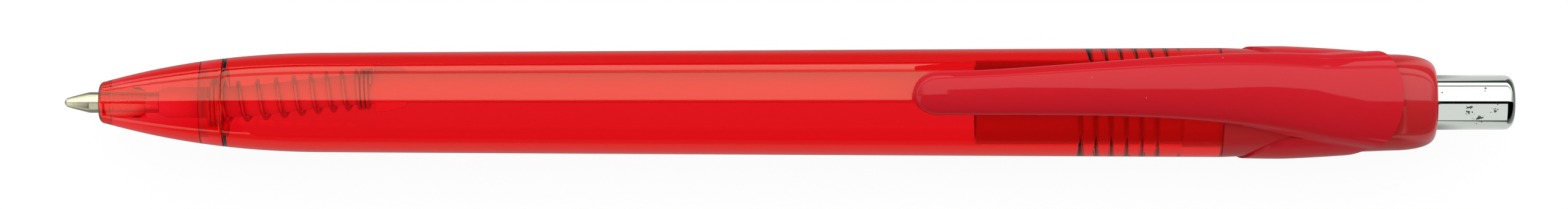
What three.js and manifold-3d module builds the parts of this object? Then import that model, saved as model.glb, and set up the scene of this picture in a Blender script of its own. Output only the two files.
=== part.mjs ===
// Retractable ball pen with a see-through barrel, a solid cap, a ring clip and a plated push button.
// Millimetres, +Z up. The pen lies along X with its point at -X and its clip upwards (+Z).
// Lengthways places are stations: distances from the front of the ball, along the pen's axis.
import * as THREE from "three";
import { mergeVertices } from "three/addons/utils/BufferGeometryUtils.js";
import Module from "manifold-3d";

const wasm = await Module();
wasm.setup();

// Housing lengths
const POINT_REACH = 3.4;
const NOSE_LENGTH = 12.1;
const BARREL_LENGTH = 96.2;
const CAP_LENGTH = 20.7;
const BUTTON_REACH = 7.6;
const SEAM = 0.05;

// Housing radii and walls
const NOSE_FRONT_RADIUS = 2.05;
const NOSE_FACE_RADIUS = 1.45;
const NOSE_ROUNDING = 0.6;
const GRIP_RADIUS = 4.82;
const GRIP_SETBACK = 22.6;
const OGIVE_POWER = 2.2;
const BARREL_REAR_RADIUS = 5.29;
const BARREL_SWELL_POWER = 0.9;
const BARREL_WALL = 0.95;
const NOSE_WALL = 1;
const NOSE_FRONT_WALL = 0.6;

// Nose guide and the welded joint between nose and barrel
const GUIDE_CLEARANCE = 0.08;
const GUIDE_WALL = 0.42;
const GUIDE_LENGTH = 4.6;
const GUIDE_GROOVE_LENGTH = 3.3;
const SPIGOT_LENGTH = 2.15;
const SPIGOT_ROOM = 0.56;
const SPIGOT_FLARE = 1.4;
const SOCKET_WALL = 0.53;
const WELD_CLEARANCE = 0.07;
const SPRING_FLANGE = 0.6;
const FLANGE_CLEARANCE = 0.25;

// Cap: tail inside the barrel, screw thread, cam slots and button hole
const TAIL_LENGTH = 23.7;
const TAIL_WALL = 0.5;
const TAIL_CLEARANCE = 0.16;
const THREAD_START = 13.5;
const THREAD_LENGTH = 9.4;
const THREAD_PITCH = 1.47;
const THREAD_DEPTH = 0.3;
const THREAD_WIDTH = 0.9;
const THREAD_CLEARANCE = 0.1;
const CAP_TAPER = 0.64;
const CAP_END_FACE_RADIUS = 2.95;
const CAP_END_ROUNDING = 4;
const BUTTON_HOLE_CLEARANCE = 0.1;
const CAM_SLOTS = 4;
const CAM_SLOT_WIDTH = 1.4;
const CAM_RIB_HEIGHT = 0.95;
const CAM_STEP = 0.6;

// Clip and its ring
const RING_STEP = 0.17;
const RING_FRONT_STEP = 0.04;
const RING_REAR_STEP = 0.12;
const RING_CREST = 5.7;
const RING_SEAT_DEPTH = 0.35;
const RING_CLEARANCE = 0.1;
const RING_PLAY = 0.12;
const RING_FRONT_MIDDLE = 2.4;
const RING_FRONT_SLANT = 2.7;
const RING_REAR_MIDDLE = 12.6;
const RING_REAR_SLANT = 4.35;
const CLIP_ROOT = 8.1;
const CLIP_ROOT_HEIGHT = 4;
const CLIP_LENGTH = 29.9;
const CLIP_TIP_ROUNDING = 2.3;
const CLIP_TIP_HALF_WIDTH = 2.05;
const CLIP_MIDDLE_HALF_WIDTH = 2.95;
const CLIP_ROOT_HALF_WIDTH = 4.02;
const CLIP_REAR_HALF_WIDTH = 4.9;
const CLIP_TIP_LIFT = 1.66;
const CLIP_TOP_LIFT = 3.11;
const CLIP_ROOT_LIFT = 1.31;
const CLIP_REAR_LIFT = -0.44;
const CLIP_GAP = 0.38;
const CLIP_RIM = 0.3;
const CLIP_CROWN = 0.68;
const CHANNEL_WIDTH = 2;
const CHANNEL_DEPTH = 0.7;
const CHANNEL_END = 2;
const NUB_RADIUS = 1.1;
const NUB_SETBACK = 3.4;
const NUB_CLEARANCE = 0.1;
const NUB_FLAT_RADIUS = 0.45;

// Button, plunger and rotor
const BUTTON_RADIUS = 2.65;
const BUTTON_WALL = 0.45;
const BUTTON_END_WALL = 0.9;
const BUTTON_CORNER = 0.9;
const BUTTON_SLACK = 0.7;
const PRESS = 1.2;
const RETRACT = 4.6;
const STOP_GAP = 0.3;
const PLUNGER_CLEARANCE = 0.15;
const PLUNGER_BORE = 1.3;
const PLUNGER_SEAT_CLEARANCE = 0.05;
const FIN_TIP_CLEARANCE = 0.2;
const FIN_CLEARANCE = 0.15;
const FIN_LENGTH = 3;
const ROTOR_LENGTH = 4.5;
const ROTOR_CLEARANCE = 0.25;
const ROTOR_PIN_LENGTH = 2.7;
const ROTOR_SPIGOT_LENGTH = 2.3;
const ROTOR_SPIGOT_CLEARANCE = 0.25;
const CROWN_TEETH = 8;
const CROWN_TOOTH = 0.7;
const CROWN_GAP = 0.15;
const CROWN_WALL = 1;

// Refill
const BALL_RADIUS = 0.35;
const BALL_CLEARANCE = 0.025;
const BALL_RIM = 0.055;
const BALL_SHOWN = 0.2;
const POINT_RADIUS = 1;
const POINT_TIP_RADIUS = 0.6;
const POINT_TIP_LENGTH = 0.85;
const POINT_CONE_LENGTH = 2.5;
const POINT_SHANK_LENGTH = 4.4;
const INK_DUCT_RADIUS = 0.2;
const INK_DUCT_LENGTH = 2.4;
const SHANK_DUCT_RADIUS = 0.45;
const TUBE_GUIDE_GAP = 0.15;
const TUBE_RADIUS = 1.5;
const TUBE_BORE = 1;
const TUBE_NECK_STEP = 0.3;
const TUBE_NECK_LENGTH = 0.75;
const TUBE_FIT = 0.05;
const EAR_OVERHANG = 0.26;
const EAR_LENGTH = 3.2;
const EAR_THICKNESS = 0.6;
const FOLLOWER_LENGTH = 3;
const AIR_LENGTH = 7.6;

// Return spring, drawn at its fitted length
const WIRE_RADIUS = 0.19;
const SPRING_CLEARANCE = 0.21;
const SPRING_LENGTH = 15.9;
const END_COILS = 2;
const END_PITCH = 0.88;
const FREE_COILS = 7;
const STEPS_PER_COIL = 8;
const WIRE_SIDES = 5;

// Facets round the large shells, the middle-sized pieces and the small ones
const SHELL_SIDES = 40;
const MIDDLE_SIDES = 32;
const SMALL_SIDES = 24;

// How far a joined or cutting piece runs into its neighbour
const SUNK = 0.1;

// Stations that follow from the sizes above
const TURN = 2 * Math.PI;
const NOSE_FRONT = POINT_REACH;
const GUIDE_END = NOSE_FRONT + GUIDE_LENGTH;
const GRIP_STATION = NOSE_FRONT + GRIP_SETBACK;
const BARREL_FRONT = NOSE_FRONT + NOSE_LENGTH;
const CAP_FRONT = BARREL_FRONT + BARREL_LENGTH;
const CAP_END = CAP_FRONT + CAP_LENGTH;
const PEN_END = CAP_END + BUTTON_REACH;
const SPIGOT_FRONT = BARREL_FRONT - SPIGOT_LENGTH;
const SPRING_SEAT = SPIGOT_FRONT + SPRING_FLANGE;
const TUBE_FRONT = GUIDE_END + PRESS + TUBE_GUIDE_GAP;
const TAIL_FRONT = CAP_FRONT - TAIL_LENGTH;
const THREAD_FRONT = CAP_FRONT - THREAD_START;
const EAR_FRONT = SPRING_SEAT + SEAM + SPRING_LENGTH + SEAM;
const RIB_FRONT = CAP_FRONT - SEAM;
const ROTOR_REAR = RIB_FRONT - CAM_STEP / 4;
const ROTOR_FRONT = ROTOR_REAR - ROTOR_LENGTH;
const TUBE_REAR = ROTOR_FRONT - SEAM;
const PLUNGER_FRONT = ROTOR_REAR + CROWN_GAP;
const PLUNGER_FIN_FRONT = PLUNGER_FRONT + CROWN_TOOTH + SEAM;
const SLOT_END = PLUNGER_FIN_FRONT + FIN_LENGTH + RETRACT + STOP_GAP;
const BUTTON_FRONT = SLOT_END + PRESS + BUTTON_SLACK;
const CLIP_ROOT_STATION = CAP_FRONT + CLIP_ROOT;
const CLIP_TIP = CAP_FRONT - CLIP_LENGTH;
const RING_REAR = CAP_FRONT + RING_REAR_MIDDLE + RING_REAR_SLANT;

// Outside radius of nose and barrel: an ogive up to the grip, then a slow swell to the rear.
function bodyRadius(station) {
  if (station < GRIP_STATION) {
    const along = (station - NOSE_FRONT - NOSE_ROUNDING) / (GRIP_SETBACK - NOSE_ROUNDING);
    const short = (1 - Math.max(along, 0)) ** OGIVE_POWER;
    return GRIP_RADIUS - (GRIP_RADIUS - NOSE_FRONT_RADIUS) * short;
  }
  const along = (station - GRIP_STATION) / (CAP_FRONT - GRIP_STATION);
  return GRIP_RADIUS + (BARREL_REAR_RADIUS - GRIP_RADIUS) * Math.min(along, 1) ** BARREL_SWELL_POWER;
}

// Outside radius of the cap ahead of its rounded end.
function capRadius(station) {
  return BARREL_REAR_RADIUS - (CAP_TAPER * (station - CAP_FRONT)) / (CAP_LENGTH - CAP_END_ROUNDING);
}

// Outside radius of the clip's ring: a low hump that runs out to the cap at the rear.
function ringRadius(station) {
  const behind = station - CAP_FRONT;
  if (behind < RING_CREST) {
    const rise = Math.sin(((behind / RING_CREST) * Math.PI) / 2);
    return BARREL_REAR_RADIUS + RING_FRONT_STEP + (RING_STEP - RING_FRONT_STEP) * rise;
  }
  const fall = ((behind - RING_CREST) / (RING_REAR - CAP_FRONT - RING_CREST)) ** 1.3;
  return RING_RADIUS + (capRadius(RING_REAR) + RING_REAR_STEP - RING_RADIUS) * fall;
}

// Radii that follow from the sizes above
const RING_RADIUS = BARREL_REAR_RADIUS + RING_STEP;
const CAP_SHOULDER_RADIUS = BARREL_REAR_RADIUS - CAP_TAPER;
const TAIL_RADIUS = bodyRadius(TAIL_FRONT) - BARREL_WALL - TAIL_CLEARANCE;
const TAIL_BORE = TAIL_RADIUS - TAIL_WALL;
const THREAD_CREST = TAIL_RADIUS + THREAD_DEPTH;
const THREADED_BORE = THREAD_CREST + THREAD_CLEARANCE;
const CAM_BORE = TAIL_BORE - CAM_RIB_HEIGHT;
const FIN_RADIUS = TAIL_BORE - FIN_TIP_CLEARANCE;
const FIN_WIDTH = CAM_SLOT_WIDTH - 2 * FIN_CLEARANCE;
const PLUNGER_RADIUS = CAM_BORE - PLUNGER_CLEARANCE;
const ROTOR_RADIUS = CAM_BORE - ROTOR_CLEARANCE;
const BUTTON_BORE = BUTTON_RADIUS - BUTTON_WALL;
const SOCKET_BORE = bodyRadius(SPIGOT_FRONT) - SOCKET_WALL;
const SPIGOT_RADIUS = SOCKET_BORE - WELD_CLEARANCE;
const SHANK_RADIUS = TUBE_BORE - TUBE_FIT;
const GUIDE_BORE = POINT_RADIUS + GUIDE_CLEARANCE;
const FLANGE_BORE = TUBE_RADIUS + FLANGE_CLEARANCE;
const SPRING_RADIUS = TUBE_RADIUS + SPRING_CLEARANCE + WIRE_RADIUS;
const SPIGOT_BORE = SPRING_RADIUS + WIRE_RADIUS + SPIGOT_ROOM;
const EAR_RADIUS = SPRING_RADIUS + WIRE_RADIUS + EAR_OVERHANG;

// Evenly spaced stations from one to another, both ends included.
function spread(from, to, steps) {
  return Array.from({ length: steps + 1 }, (_, i) => from + ((to - from) * i) / steps);
}

// A closed geometry as a solid, with its faces turned outwards.
function solid(geometry) {
  const bare = geometry.index ? geometry.clone() : mergeVertices(geometry);
  bare.deleteAttribute("normal");
  bare.deleteAttribute("uv");
  const merged = mergeVertices(bare, 1e-4);
  const triangles = [];
  for (let i = 0; i < merged.index.count; i += 3) {
    const [a, b, c] = [0, 1, 2].map((k) => merged.index.getX(i + k));
    if (a !== b && b !== c && c !== a) triangles.push(a, b, c);
  }
  const make = (list) =>
    new wasm.Manifold(
      new wasm.Mesh({
        numProp: 3,
        vertProperties: new Float32Array(merged.attributes.position.array),
        triVerts: new Uint32Array(list),
      }),
    );
  const made = make(triangles);
  if (made.volume() > 0) return made;
  for (let i = 0; i < triangles.length; i += 3) {
    [triangles[i + 1], triangles[i + 2]] = [triangles[i + 2], triangles[i + 1]];
  }
  return make(triangles);
}

// A profile of [station, radius] points turned round the pen's axis, with one facet facing down.
function revolve(profile, sides) {
  const points = profile.map(([station, radius]) => new THREE.Vector2(radius, station));
  const onAxis = profile[0][1] === 0 && profile[profile.length - 1][1] === 0;
  if (!onAxis) points.push(points[0].clone());
  return solid(new THREE.LatheGeometry(points, sides, Math.PI / sides, TURN).rotateZ(-Math.PI / 2));
}

// A flat outline of [x, y] points extruded along Z from low to high.
function extrude(outline, low, high) {
  const shape = new THREE.Shape(outline.map(([x, y]) => new THREE.Vector2(x, y)));
  return new THREE.ExtrudeGeometry(shape, { depth: high - low, bevelEnabled: false }).translate(0, 0, low);
}

// An outline of [station, height] points seen from the side, extruded right across the pen.
function sidePrism(outline, halfWidth) {
  return solid(extrude(outline, -halfWidth, halfWidth).rotateX(Math.PI / 2));
}

// A ring whose front and rear edges follow functions of the angle.
function crownRing(inner, outer, front, rear, steps) {
  const positions = [];
  const index = [];
  for (let i = 0; i < steps; i++) {
    const angle = (i / steps) * TURN;
    const corners = [
      [front(i), inner],
      [front(i), outer],
      [rear(i), outer],
      [rear(i), inner],
    ];
    for (const [x, r] of corners) positions.push(x, r * Math.sin(angle), r * Math.cos(angle));
    for (let k = 0; k < 4; k++) {
      const here = i * 4 + k;
      const beside = i * 4 + ((k + 1) % 4);
      const next = (here + 4) % (steps * 4);
      const nextBeside = (beside + 4) % (steps * 4);
      index.push(here, next, nextBeside, here, nextBeside, beside);
    }
  }
  return solid(gridGeometry(positions, index));
}

function gridGeometry(positions, index) {
  const geometry = new THREE.BufferGeometry();
  geometry.setAttribute("position", new THREE.BufferAttribute(new Float32Array(positions), 3));
  geometry.setIndex(index);
  return geometry;
}

// Closed rings of points joined one to the next, with a fan over each end.
function loft(rings) {
  const size = rings[0].length;
  const positions = rings.flat(2);
  const index = [];
  for (let i = 0; i < rings.length - 1; i++) {
    for (let k = 0; k < size; k++) {
      const here = i * size + k;
      const beside = i * size + ((k + 1) % size);
      index.push(here, beside, beside + size, here, beside + size, here + size);
    }
  }
  for (const end of [0, rings.length - 1]) {
    const middle = [0, 1, 2].map((axis) => rings[end].reduce((sum, p) => sum + p[axis], 0) / size);
    const centre = positions.length / 3;
    positions.push(...middle);
    for (let k = 0; k < size; k++) {
      const here = end * size + k;
      const beside = end * size + ((k + 1) % size);
      index.push(...(end ? [here, beside, centre] : [beside, here, centre]));
    }
  }
  return solid(gridGeometry(positions, index));
}

// A solid turned round the pen's axis by an angle.
function turned(piece, angle) {
  return piece.rotate([(angle * 360) / TURN, 0, 0]);
}

// Four copies of a fin that stands up along +Z.
function finSet(fin) {
  return spread(0, TURN, CAM_SLOTS)
    .slice(0, CAM_SLOTS)
    .map((angle) => turned(fin, angle))
    .reduce((all, one) => all.add(one));
}

function noseCone() {
  const cavityEnd = SPIGOT_FRONT - SEAM;
  const rear = BARREL_FRONT - SEAM;
  const guideRadius = GUIDE_BORE + GUIDE_WALL;
  const rounding = spread(0, Math.PI / 2, 3).map((a) => [
    NOSE_FRONT + NOSE_ROUNDING * (1 - Math.cos(a)),
    NOSE_FACE_RADIUS + (NOSE_FRONT_RADIUS - NOSE_FACE_RADIUS) * Math.sin(a),
  ]);
  const outside = spread(NOSE_FRONT + NOSE_ROUNDING, rear, 8).slice(1);
  const grooveStart = GUIDE_END - GUIDE_GROOVE_LENGTH;
  const cavity = spread(0, 1, 6).map((share) => {
    const station = cavityEnd + (grooveStart - cavityEnd) * share;
    return [station, bodyRadius(station) - NOSE_WALL + (NOSE_WALL - NOSE_FRONT_WALL) * share];
  });
  return revolve(
    [
      [NOSE_FRONT, GUIDE_BORE],
      ...rounding,
      ...outside.map((s) => [s, bodyRadius(s)]),
      [rear, SOCKET_BORE],
      [cavityEnd, SOCKET_BORE],
      ...cavity,
      [grooveStart, guideRadius],
      [GUIDE_END, guideRadius],
      [GUIDE_END, GUIDE_BORE],
    ],
    SHELL_SIDES,
  );
}

function barrel() {
  const rear = CAP_FRONT - SEAM;
  const boreStart = BARREL_FRONT + SPIGOT_FLARE;
  const threadZone = THREAD_FRONT - THREAD_PITCH;
  const grip = spread(BARREL_FRONT, GRIP_STATION, 5);
  const outside = [...grip, ...spread(GRIP_STATION, rear, 5).slice(1)];
  const bore = [...spread(threadZone, GRIP_STATION, 4), ...spread(GRIP_STATION, boreStart, 4).slice(1)];
  return revolve(
    [
      ...outside.map((s) => [s, bodyRadius(s)]),
      [rear, THREADED_BORE],
      [threadZone + THREAD_DEPTH, THREADED_BORE],
      ...bore.map((s) => [s, bodyRadius(s) - BARREL_WALL]),
      [BARREL_FRONT, SPIGOT_BORE],
      [SPRING_SEAT, SPIGOT_BORE],
      [SPRING_SEAT, FLANGE_BORE],
      [SPIGOT_FRONT, FLANGE_BORE],
      [SPIGOT_FRONT, SPIGOT_RADIUS],
      [BARREL_FRONT, SPIGOT_RADIUS],
    ],
    SHELL_SIDES,
  );
}

// The ring from the side: its front edge climbs in a curve to the clip's root, its rear edge slants.
function ringOutline(play) {
  const reach = 1.2 * RING_RADIUS;
  const slant = (share) => CAP_FRONT + RING_FRONT_MIDDLE + RING_FRONT_SLANT * share;
  const edge = new THREE.SplineCurve([
    new THREE.Vector2(slant(-1), -reach),
    new THREE.Vector2(slant(-0.55), -0.75 * RING_RADIUS),
    new THREE.Vector2(slant(-0.1), -0.15 * RING_RADIUS),
    new THREE.Vector2(slant(0.25), 0.22 * RING_RADIUS),
    new THREE.Vector2(slant(1), 0.7 * CLIP_ROOT_HEIGHT),
    new THREE.Vector2(CLIP_ROOT_STATION - CLIP_ROOT / 8, 0.87 * CLIP_ROOT_HEIGHT),
    new THREE.Vector2(CLIP_ROOT_STATION, CLIP_ROOT_HEIGHT),
  ]).getPoints(14);
  const top = 2 * RING_RADIUS;
  return [
    ...edge.map((p) => [p.x - play, p.y]),
    [CLIP_ROOT_STATION - play, top],
    [ringRearEdge(top) + play, top],
    [ringRearEdge(-reach) + play, -reach],
  ];
}

// Station of the ring's slanted rear edge at a height above the axis.
function ringRearEdge(height) {
  return CAP_FRONT + RING_REAR_MIDDLE + (RING_REAR_SLANT * height) / capRadius(RING_REAR);
}

function seatRadius(station) {
  return capRadius(station) - RING_SEAT_DEPTH;
}

function cap() {
  const rounding = spread(0, Math.PI / 2, 6).map((a) => [
    CAP_END - CAP_END_ROUNDING * (1 - Math.sin(a)),
    CAP_END_FACE_RADIUS + (CAP_SHOULDER_RADIUS - CAP_END_FACE_RADIUS) * Math.cos(a),
  ]);
  const hole = BUTTON_RADIUS + BUTTON_HOLE_CLEARANCE;
  const shell = revolve(
    [
      [TAIL_FRONT, TAIL_BORE],
      [TAIL_FRONT, TAIL_RADIUS],
      [THREAD_FRONT + THREAD_LENGTH, TAIL_RADIUS],
      [THREAD_FRONT + THREAD_LENGTH + THREAD_DEPTH, THREAD_CREST],
      [CAP_FRONT, THREAD_CREST],
      [CAP_FRONT, BARREL_REAR_RADIUS],
      ...rounding,
      [CAP_END, hole],
      [SLOT_END, hole],
      [SLOT_END, TAIL_BORE],
    ],
    SHELL_SIDES,
  );
  const around = revolve(
    [
      [BARREL_FRONT, seatRadius(BARREL_FRONT)],
      [CAP_END, seatRadius(CAP_END)],
      [CAP_END, 2 * RING_RADIUS],
      [BARREL_FRONT, 2 * RING_RADIUS],
    ],
    SHELL_SIDES,
  );
  const seat = around.intersect(sidePrism(ringOutline(RING_PLAY), 2 * RING_RADIUS));
  return shell.add(screwThread()).subtract(seat).add(camSleeve());
}

// The cap's right-hand thread: a three-sided ridge swept along a helix, sunk a little into the tail.
function screwThread() {
  const turns = THREAD_LENGTH / THREAD_PITCH;
  const steps = Math.round(turns * SMALL_SIDES);
  const rings = spread(0, turns * TURN, steps).map((angle) => {
    const middle = THREAD_FRONT + (THREAD_PITCH * angle) / TURN;
    const corners = [
      [middle - THREAD_WIDTH / 2, TAIL_RADIUS - SUNK],
      [middle, THREAD_CREST],
      [middle + THREAD_WIDTH / 2, TAIL_RADIUS - SUNK],
    ];
    return corners.map(([x, r]) => [x, -r * Math.sin(angle), r * Math.cos(angle)]);
  });
  return loft(rings);
}

// Ribs inside the cap with stepped front ends, parted by the slots that the fins slide in.
function camSleeve() {
  const steps = 2 * MIDDLE_SIDES;
  const perRib = steps / (2 * CAM_SLOTS);
  const front = (i) => RIB_FRONT + (CAM_STEP * (i % perRib)) / perRib;
  const sleeve = crownRing(CAM_BORE, TAIL_BORE + SUNK, front, () => SLOT_END + SUNK, steps);
  const half = CAM_SLOT_WIDTH / 2;
  const outline = [
    [RIB_FRONT - SUNK, -half],
    [SLOT_END, -half],
    [SLOT_END, half],
    [RIB_FRONT - SUNK, half],
  ];
  const slot = solid(extrude(outline, CAM_BORE - CAM_RIB_HEIGHT, TAIL_BORE + 2 * SUNK));
  return sleeve.subtract(finSet(slot));
}

// Half width of the clip's arm, and the height of its crest above the axis, at a station.
function armSection(station) {
  const { half, crest } = armCurves;
  return { half: heightAt(half, station), crest: heightAt(crest, station) };
}

// The y of a curve where its x is the given one.
function heightAt(curve, x) {
  let low = 0;
  let high = 1;
  for (let i = 0; i < 30; i++) {
    const middle = (low + high) / 2;
    if (curve.getPoint(middle).x < x) low = middle;
    else high = middle;
  }
  return curve.getPoint(low).y;
}

// The arm's outline from above and its crest from the side, from the tip to the ring's rear.
function makeArmCurves() {
  const middle = CLIP_TIP + 0.8 * CLIP_LENGTH;
  const top = CLIP_TIP + 0.6 * CLIP_LENGTH;
  const rise = (lift) => BARREL_REAR_RADIUS + lift;
  const through = (points) =>
    new THREE.CatmullRomCurve3(points.map(([x, y]) => new THREE.Vector3(x, y, 0)));
  return {
    half: through([
      [CLIP_TIP, CLIP_TIP_HALF_WIDTH],
      [middle, CLIP_MIDDLE_HALF_WIDTH],
      [CLIP_ROOT_STATION, CLIP_ROOT_HALF_WIDTH],
      [RING_REAR, CLIP_REAR_HALF_WIDTH],
    ]),
    crest: through([
      [CLIP_TIP, rise(CLIP_TIP_LIFT)],
      [top, rise(CLIP_TOP_LIFT)],
      [CLIP_ROOT_STATION, rise(CLIP_ROOT_LIFT)],
      [RING_REAR, rise(CLIP_REAR_LIFT)],
    ]),
  };
}

const armCurves = makeArmCurves();

function armRing(station) {
  const { half, crest } = armSection(station);
  const fromTip = Math.min((station - CLIP_TIP) / CLIP_TIP_ROUNDING, 1);
  const rounded = Math.sqrt(1 - (1 - fromTip) ** 2);
  const width = half * rounded;
  const crown = CLIP_CROWN * half;
  const rim = crest - crown;
  const low = rim - CLIP_RIM;
  const arch = spread(0, Math.PI, 12).map((a) => [
    station,
    width * Math.cos(a),
    rim + crown * rounded * Math.sin(a),
  ]);
  return [...arch, [station, -width * 0.9, low], [station, width * 0.9, low]];
}

function clip() {
  const tip = spread(0, Math.PI / 2, 4)
    .slice(1)
    .map((a) => CLIP_TIP + CLIP_TIP_ROUNDING * (1 - Math.cos(a)));
  const along = spread(CLIP_TIP + CLIP_TIP_ROUNDING, RING_REAR, 13).slice(1);
  const arm = loft([CLIP_TIP + CLIP_TIP_ROUNDING / 80, ...tip, ...along].map(armRing));
  const reach = 2 * RING_RADIUS;
  const front = CLIP_TIP - NUB_SETBACK;
  const beforeRear = sidePrism(
    [
      [front, -reach],
      [ringRearEdge(-reach), -reach],
      [ringRearEdge(reach), reach],
      [front, reach],
    ],
    reach,
  );
  const ringStations = [
    ...spread(CAP_FRONT - RING_FRONT_SLANT, CAP_FRONT + RING_CREST, 4),
    ...spread(CAP_FRONT + RING_CREST, RING_REAR, 5).slice(1),
  ];
  const ring = revolve(
    [[CAP_FRONT - RING_FRONT_SLANT, 0], ...ringStations.map((s) => [s, ringRadius(s)]), [RING_REAR, 0]],
    SHELL_SIDES,
  ).intersect(sidePrism(ringOutline(0), reach));
  const underClip = revolve(
    [
      [front, 0],
      [front, bodyRadius(CLIP_TIP) + CLIP_GAP],
      [CAP_FRONT, BARREL_REAR_RADIUS + CLIP_GAP],
      [CLIP_ROOT_STATION, capRadius(CLIP_ROOT_STATION) + CLIP_GAP],
      [CLIP_ROOT_STATION, 0],
    ],
    SHELL_SIDES,
  );
  const boreFront = CAP_FRONT - 2 * RING_FRONT_SLANT;
  const bore = revolve(
    [
      [boreFront, 0],
      [boreFront, seatRadius(boreFront) + RING_CLEARANCE],
      [CAP_END, seatRadius(CAP_END) + RING_CLEARANCE],
      [CAP_END, 0],
    ],
    SHELL_SIDES,
  );
  return arm
    .intersect(beforeRear)
    .subtract(underClip)
    .subtract(channel())
    .add(ring)
    .add(nub())
    .subtract(bore);
}

// The hollow along the underside of the clip's arm.
function channel() {
  const front = CLIP_TIP + NUB_SETBACK + 2 * NUB_RADIUS;
  const rings = spread(front, CAP_FRONT + CHANNEL_END, 6).map((station) => {
    const { half, crest } = armSection(station);
    const roof = crest - CLIP_CROWN * half - CLIP_RIM + CHANNEL_DEPTH;
    const floor = roof - CHANNEL_DEPTH - CLIP_TOP_LIFT;
    const side = CHANNEL_WIDTH / 2;
    return [
      [station, -side, floor],
      [station, side, floor],
      [station, side * 0.8, roof],
      [station, -side * 0.8, roof],
    ];
  });
  return loft(rings);
}

// The grip nub under the clip's tip, with a small flat where it meets the cloth.
function nub() {
  const station = CLIP_TIP + NUB_SETBACK;
  const foot = bodyRadius(station) + NUB_CLEARANCE;
  const { half, crest } = armSection(station);
  const root = crest - CLIP_CROWN * half;
  const rings = spread(0, 1, 4).map((t) => {
    const radius = NUB_FLAT_RADIUS + (NUB_RADIUS - NUB_FLAT_RADIUS) * Math.sin((t * Math.PI) / 2);
    const height = foot + (root - foot) * t;
    return spread(0, TURN, 12)
      .slice(1)
      .map((a) => [station + radius * Math.cos(a), radius * Math.sin(a), height]);
  });
  return loft(rings);
}

function pushButton() {
  const corner = spread(0, Math.PI / 2, 3).map((a) => [
    PEN_END - BUTTON_CORNER * (1 - Math.sin(a)),
    BUTTON_RADIUS - BUTTON_CORNER * (1 - Math.cos(a)),
  ]);
  return revolve(
    [
      [PEN_END - BUTTON_END_WALL, 0],
      [PEN_END - BUTTON_END_WALL, BUTTON_BORE],
      [BUTTON_FRONT, BUTTON_BORE],
      [BUTTON_FRONT, BUTTON_RADIUS],
      ...corner,
      [PEN_END, 0],
    ],
    MIDDLE_SIDES,
  );
}

// Edge of a crown of even, pointed teeth.
function toothEdge(valley, tip, step, steps) {
  const perTooth = steps / CROWN_TEETH;
  const half = perTooth / 2;
  const within = step % perTooth;
  return valley + ((tip - valley) * (within < half ? within : perTooth - within)) / half;
}

function plunger() {
  const seat = BUTTON_BORE - PLUNGER_SEAT_CLEARANCE;
  const crownRear = PLUNGER_FIN_FRONT + SUNK;
  const rear = PEN_END - BUTTON_END_WALL - SEAM;
  const step = BUTTON_FRONT - SEAM;
  const tube = revolve(
    [
      [PLUNGER_FIN_FRONT, PLUNGER_BORE],
      [PLUNGER_FIN_FRONT, PLUNGER_RADIUS],
      [step, PLUNGER_RADIUS],
      [step, seat],
      [rear, seat],
      [rear, PLUNGER_BORE],
    ],
    SMALL_SIDES,
  );
  const steps = CROWN_TEETH * 4;
  const crown = crownRing(
    PLUNGER_RADIUS - CROWN_WALL,
    PLUNGER_RADIUS,
    (i) => toothEdge(PLUNGER_FIN_FRONT - SEAM, PLUNGER_FRONT, i, steps),
    () => crownRear,
    steps,
  );
  const half = FIN_WIDTH / 2;
  const outline = [
    [PLUNGER_FIN_FRONT, -half],
    [PLUNGER_FIN_FRONT + FIN_LENGTH, -half],
    [PLUNGER_FIN_FRONT + FIN_LENGTH, half],
    [PLUNGER_FIN_FRONT, half],
  ];
  const fin = solid(extrude(outline, PLUNGER_RADIUS - CROWN_WALL / 2, FIN_RADIUS));
  return tube.add(crown).add(finSet(fin));
}

function rotorCam() {
  const crownRoot = ROTOR_REAR - CROWN_TOOTH;
  const spigot = PLUNGER_BORE - ROTOR_SPIGOT_CLEARANCE;
  const body = revolve(
    [
      [ROTOR_FRONT - ROTOR_PIN_LENGTH, 0],
      [ROTOR_FRONT - ROTOR_PIN_LENGTH, SHANK_RADIUS],
      [ROTOR_FRONT, SHANK_RADIUS],
      [ROTOR_FRONT, ROTOR_RADIUS],
      [crownRoot, ROTOR_RADIUS],
      [crownRoot, spigot],
      [ROTOR_REAR + ROTOR_SPIGOT_LENGTH, spigot],
      [ROTOR_REAR + ROTOR_SPIGOT_LENGTH, 0],
    ],
    SMALL_SIDES,
  );
  const steps = CROWN_TEETH * 4;
  const crown = crownRing(
    ROTOR_RADIUS - CROWN_WALL,
    ROTOR_RADIUS,
    () => crownRoot - SUNK,
    (i) => toothEdge(crownRoot, ROTOR_REAR, i, steps),
    steps,
  );
  const half = FIN_WIDTH / 2;
  const finFront = ROTOR_FRONT + (ROTOR_LENGTH - FIN_LENGTH) / 2 - CROWN_TOOTH / 2;
  const finRear = finFront + FIN_LENGTH;
  const outline = [
    [finFront, -half],
    [finRear, -half],
    [finRear + CAM_STEP, half],
    [finFront, half],
  ];
  const fin = solid(extrude(outline, ROTOR_RADIUS - CROWN_WALL / 2, FIN_RADIUS));
  return body.add(crown).add(finSet(fin));
}

function writingBall() {
  return solid(new THREE.SphereGeometry(BALL_RADIUS, 16, 10).translate(BALL_RADIUS, 0, 0));
}

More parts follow.
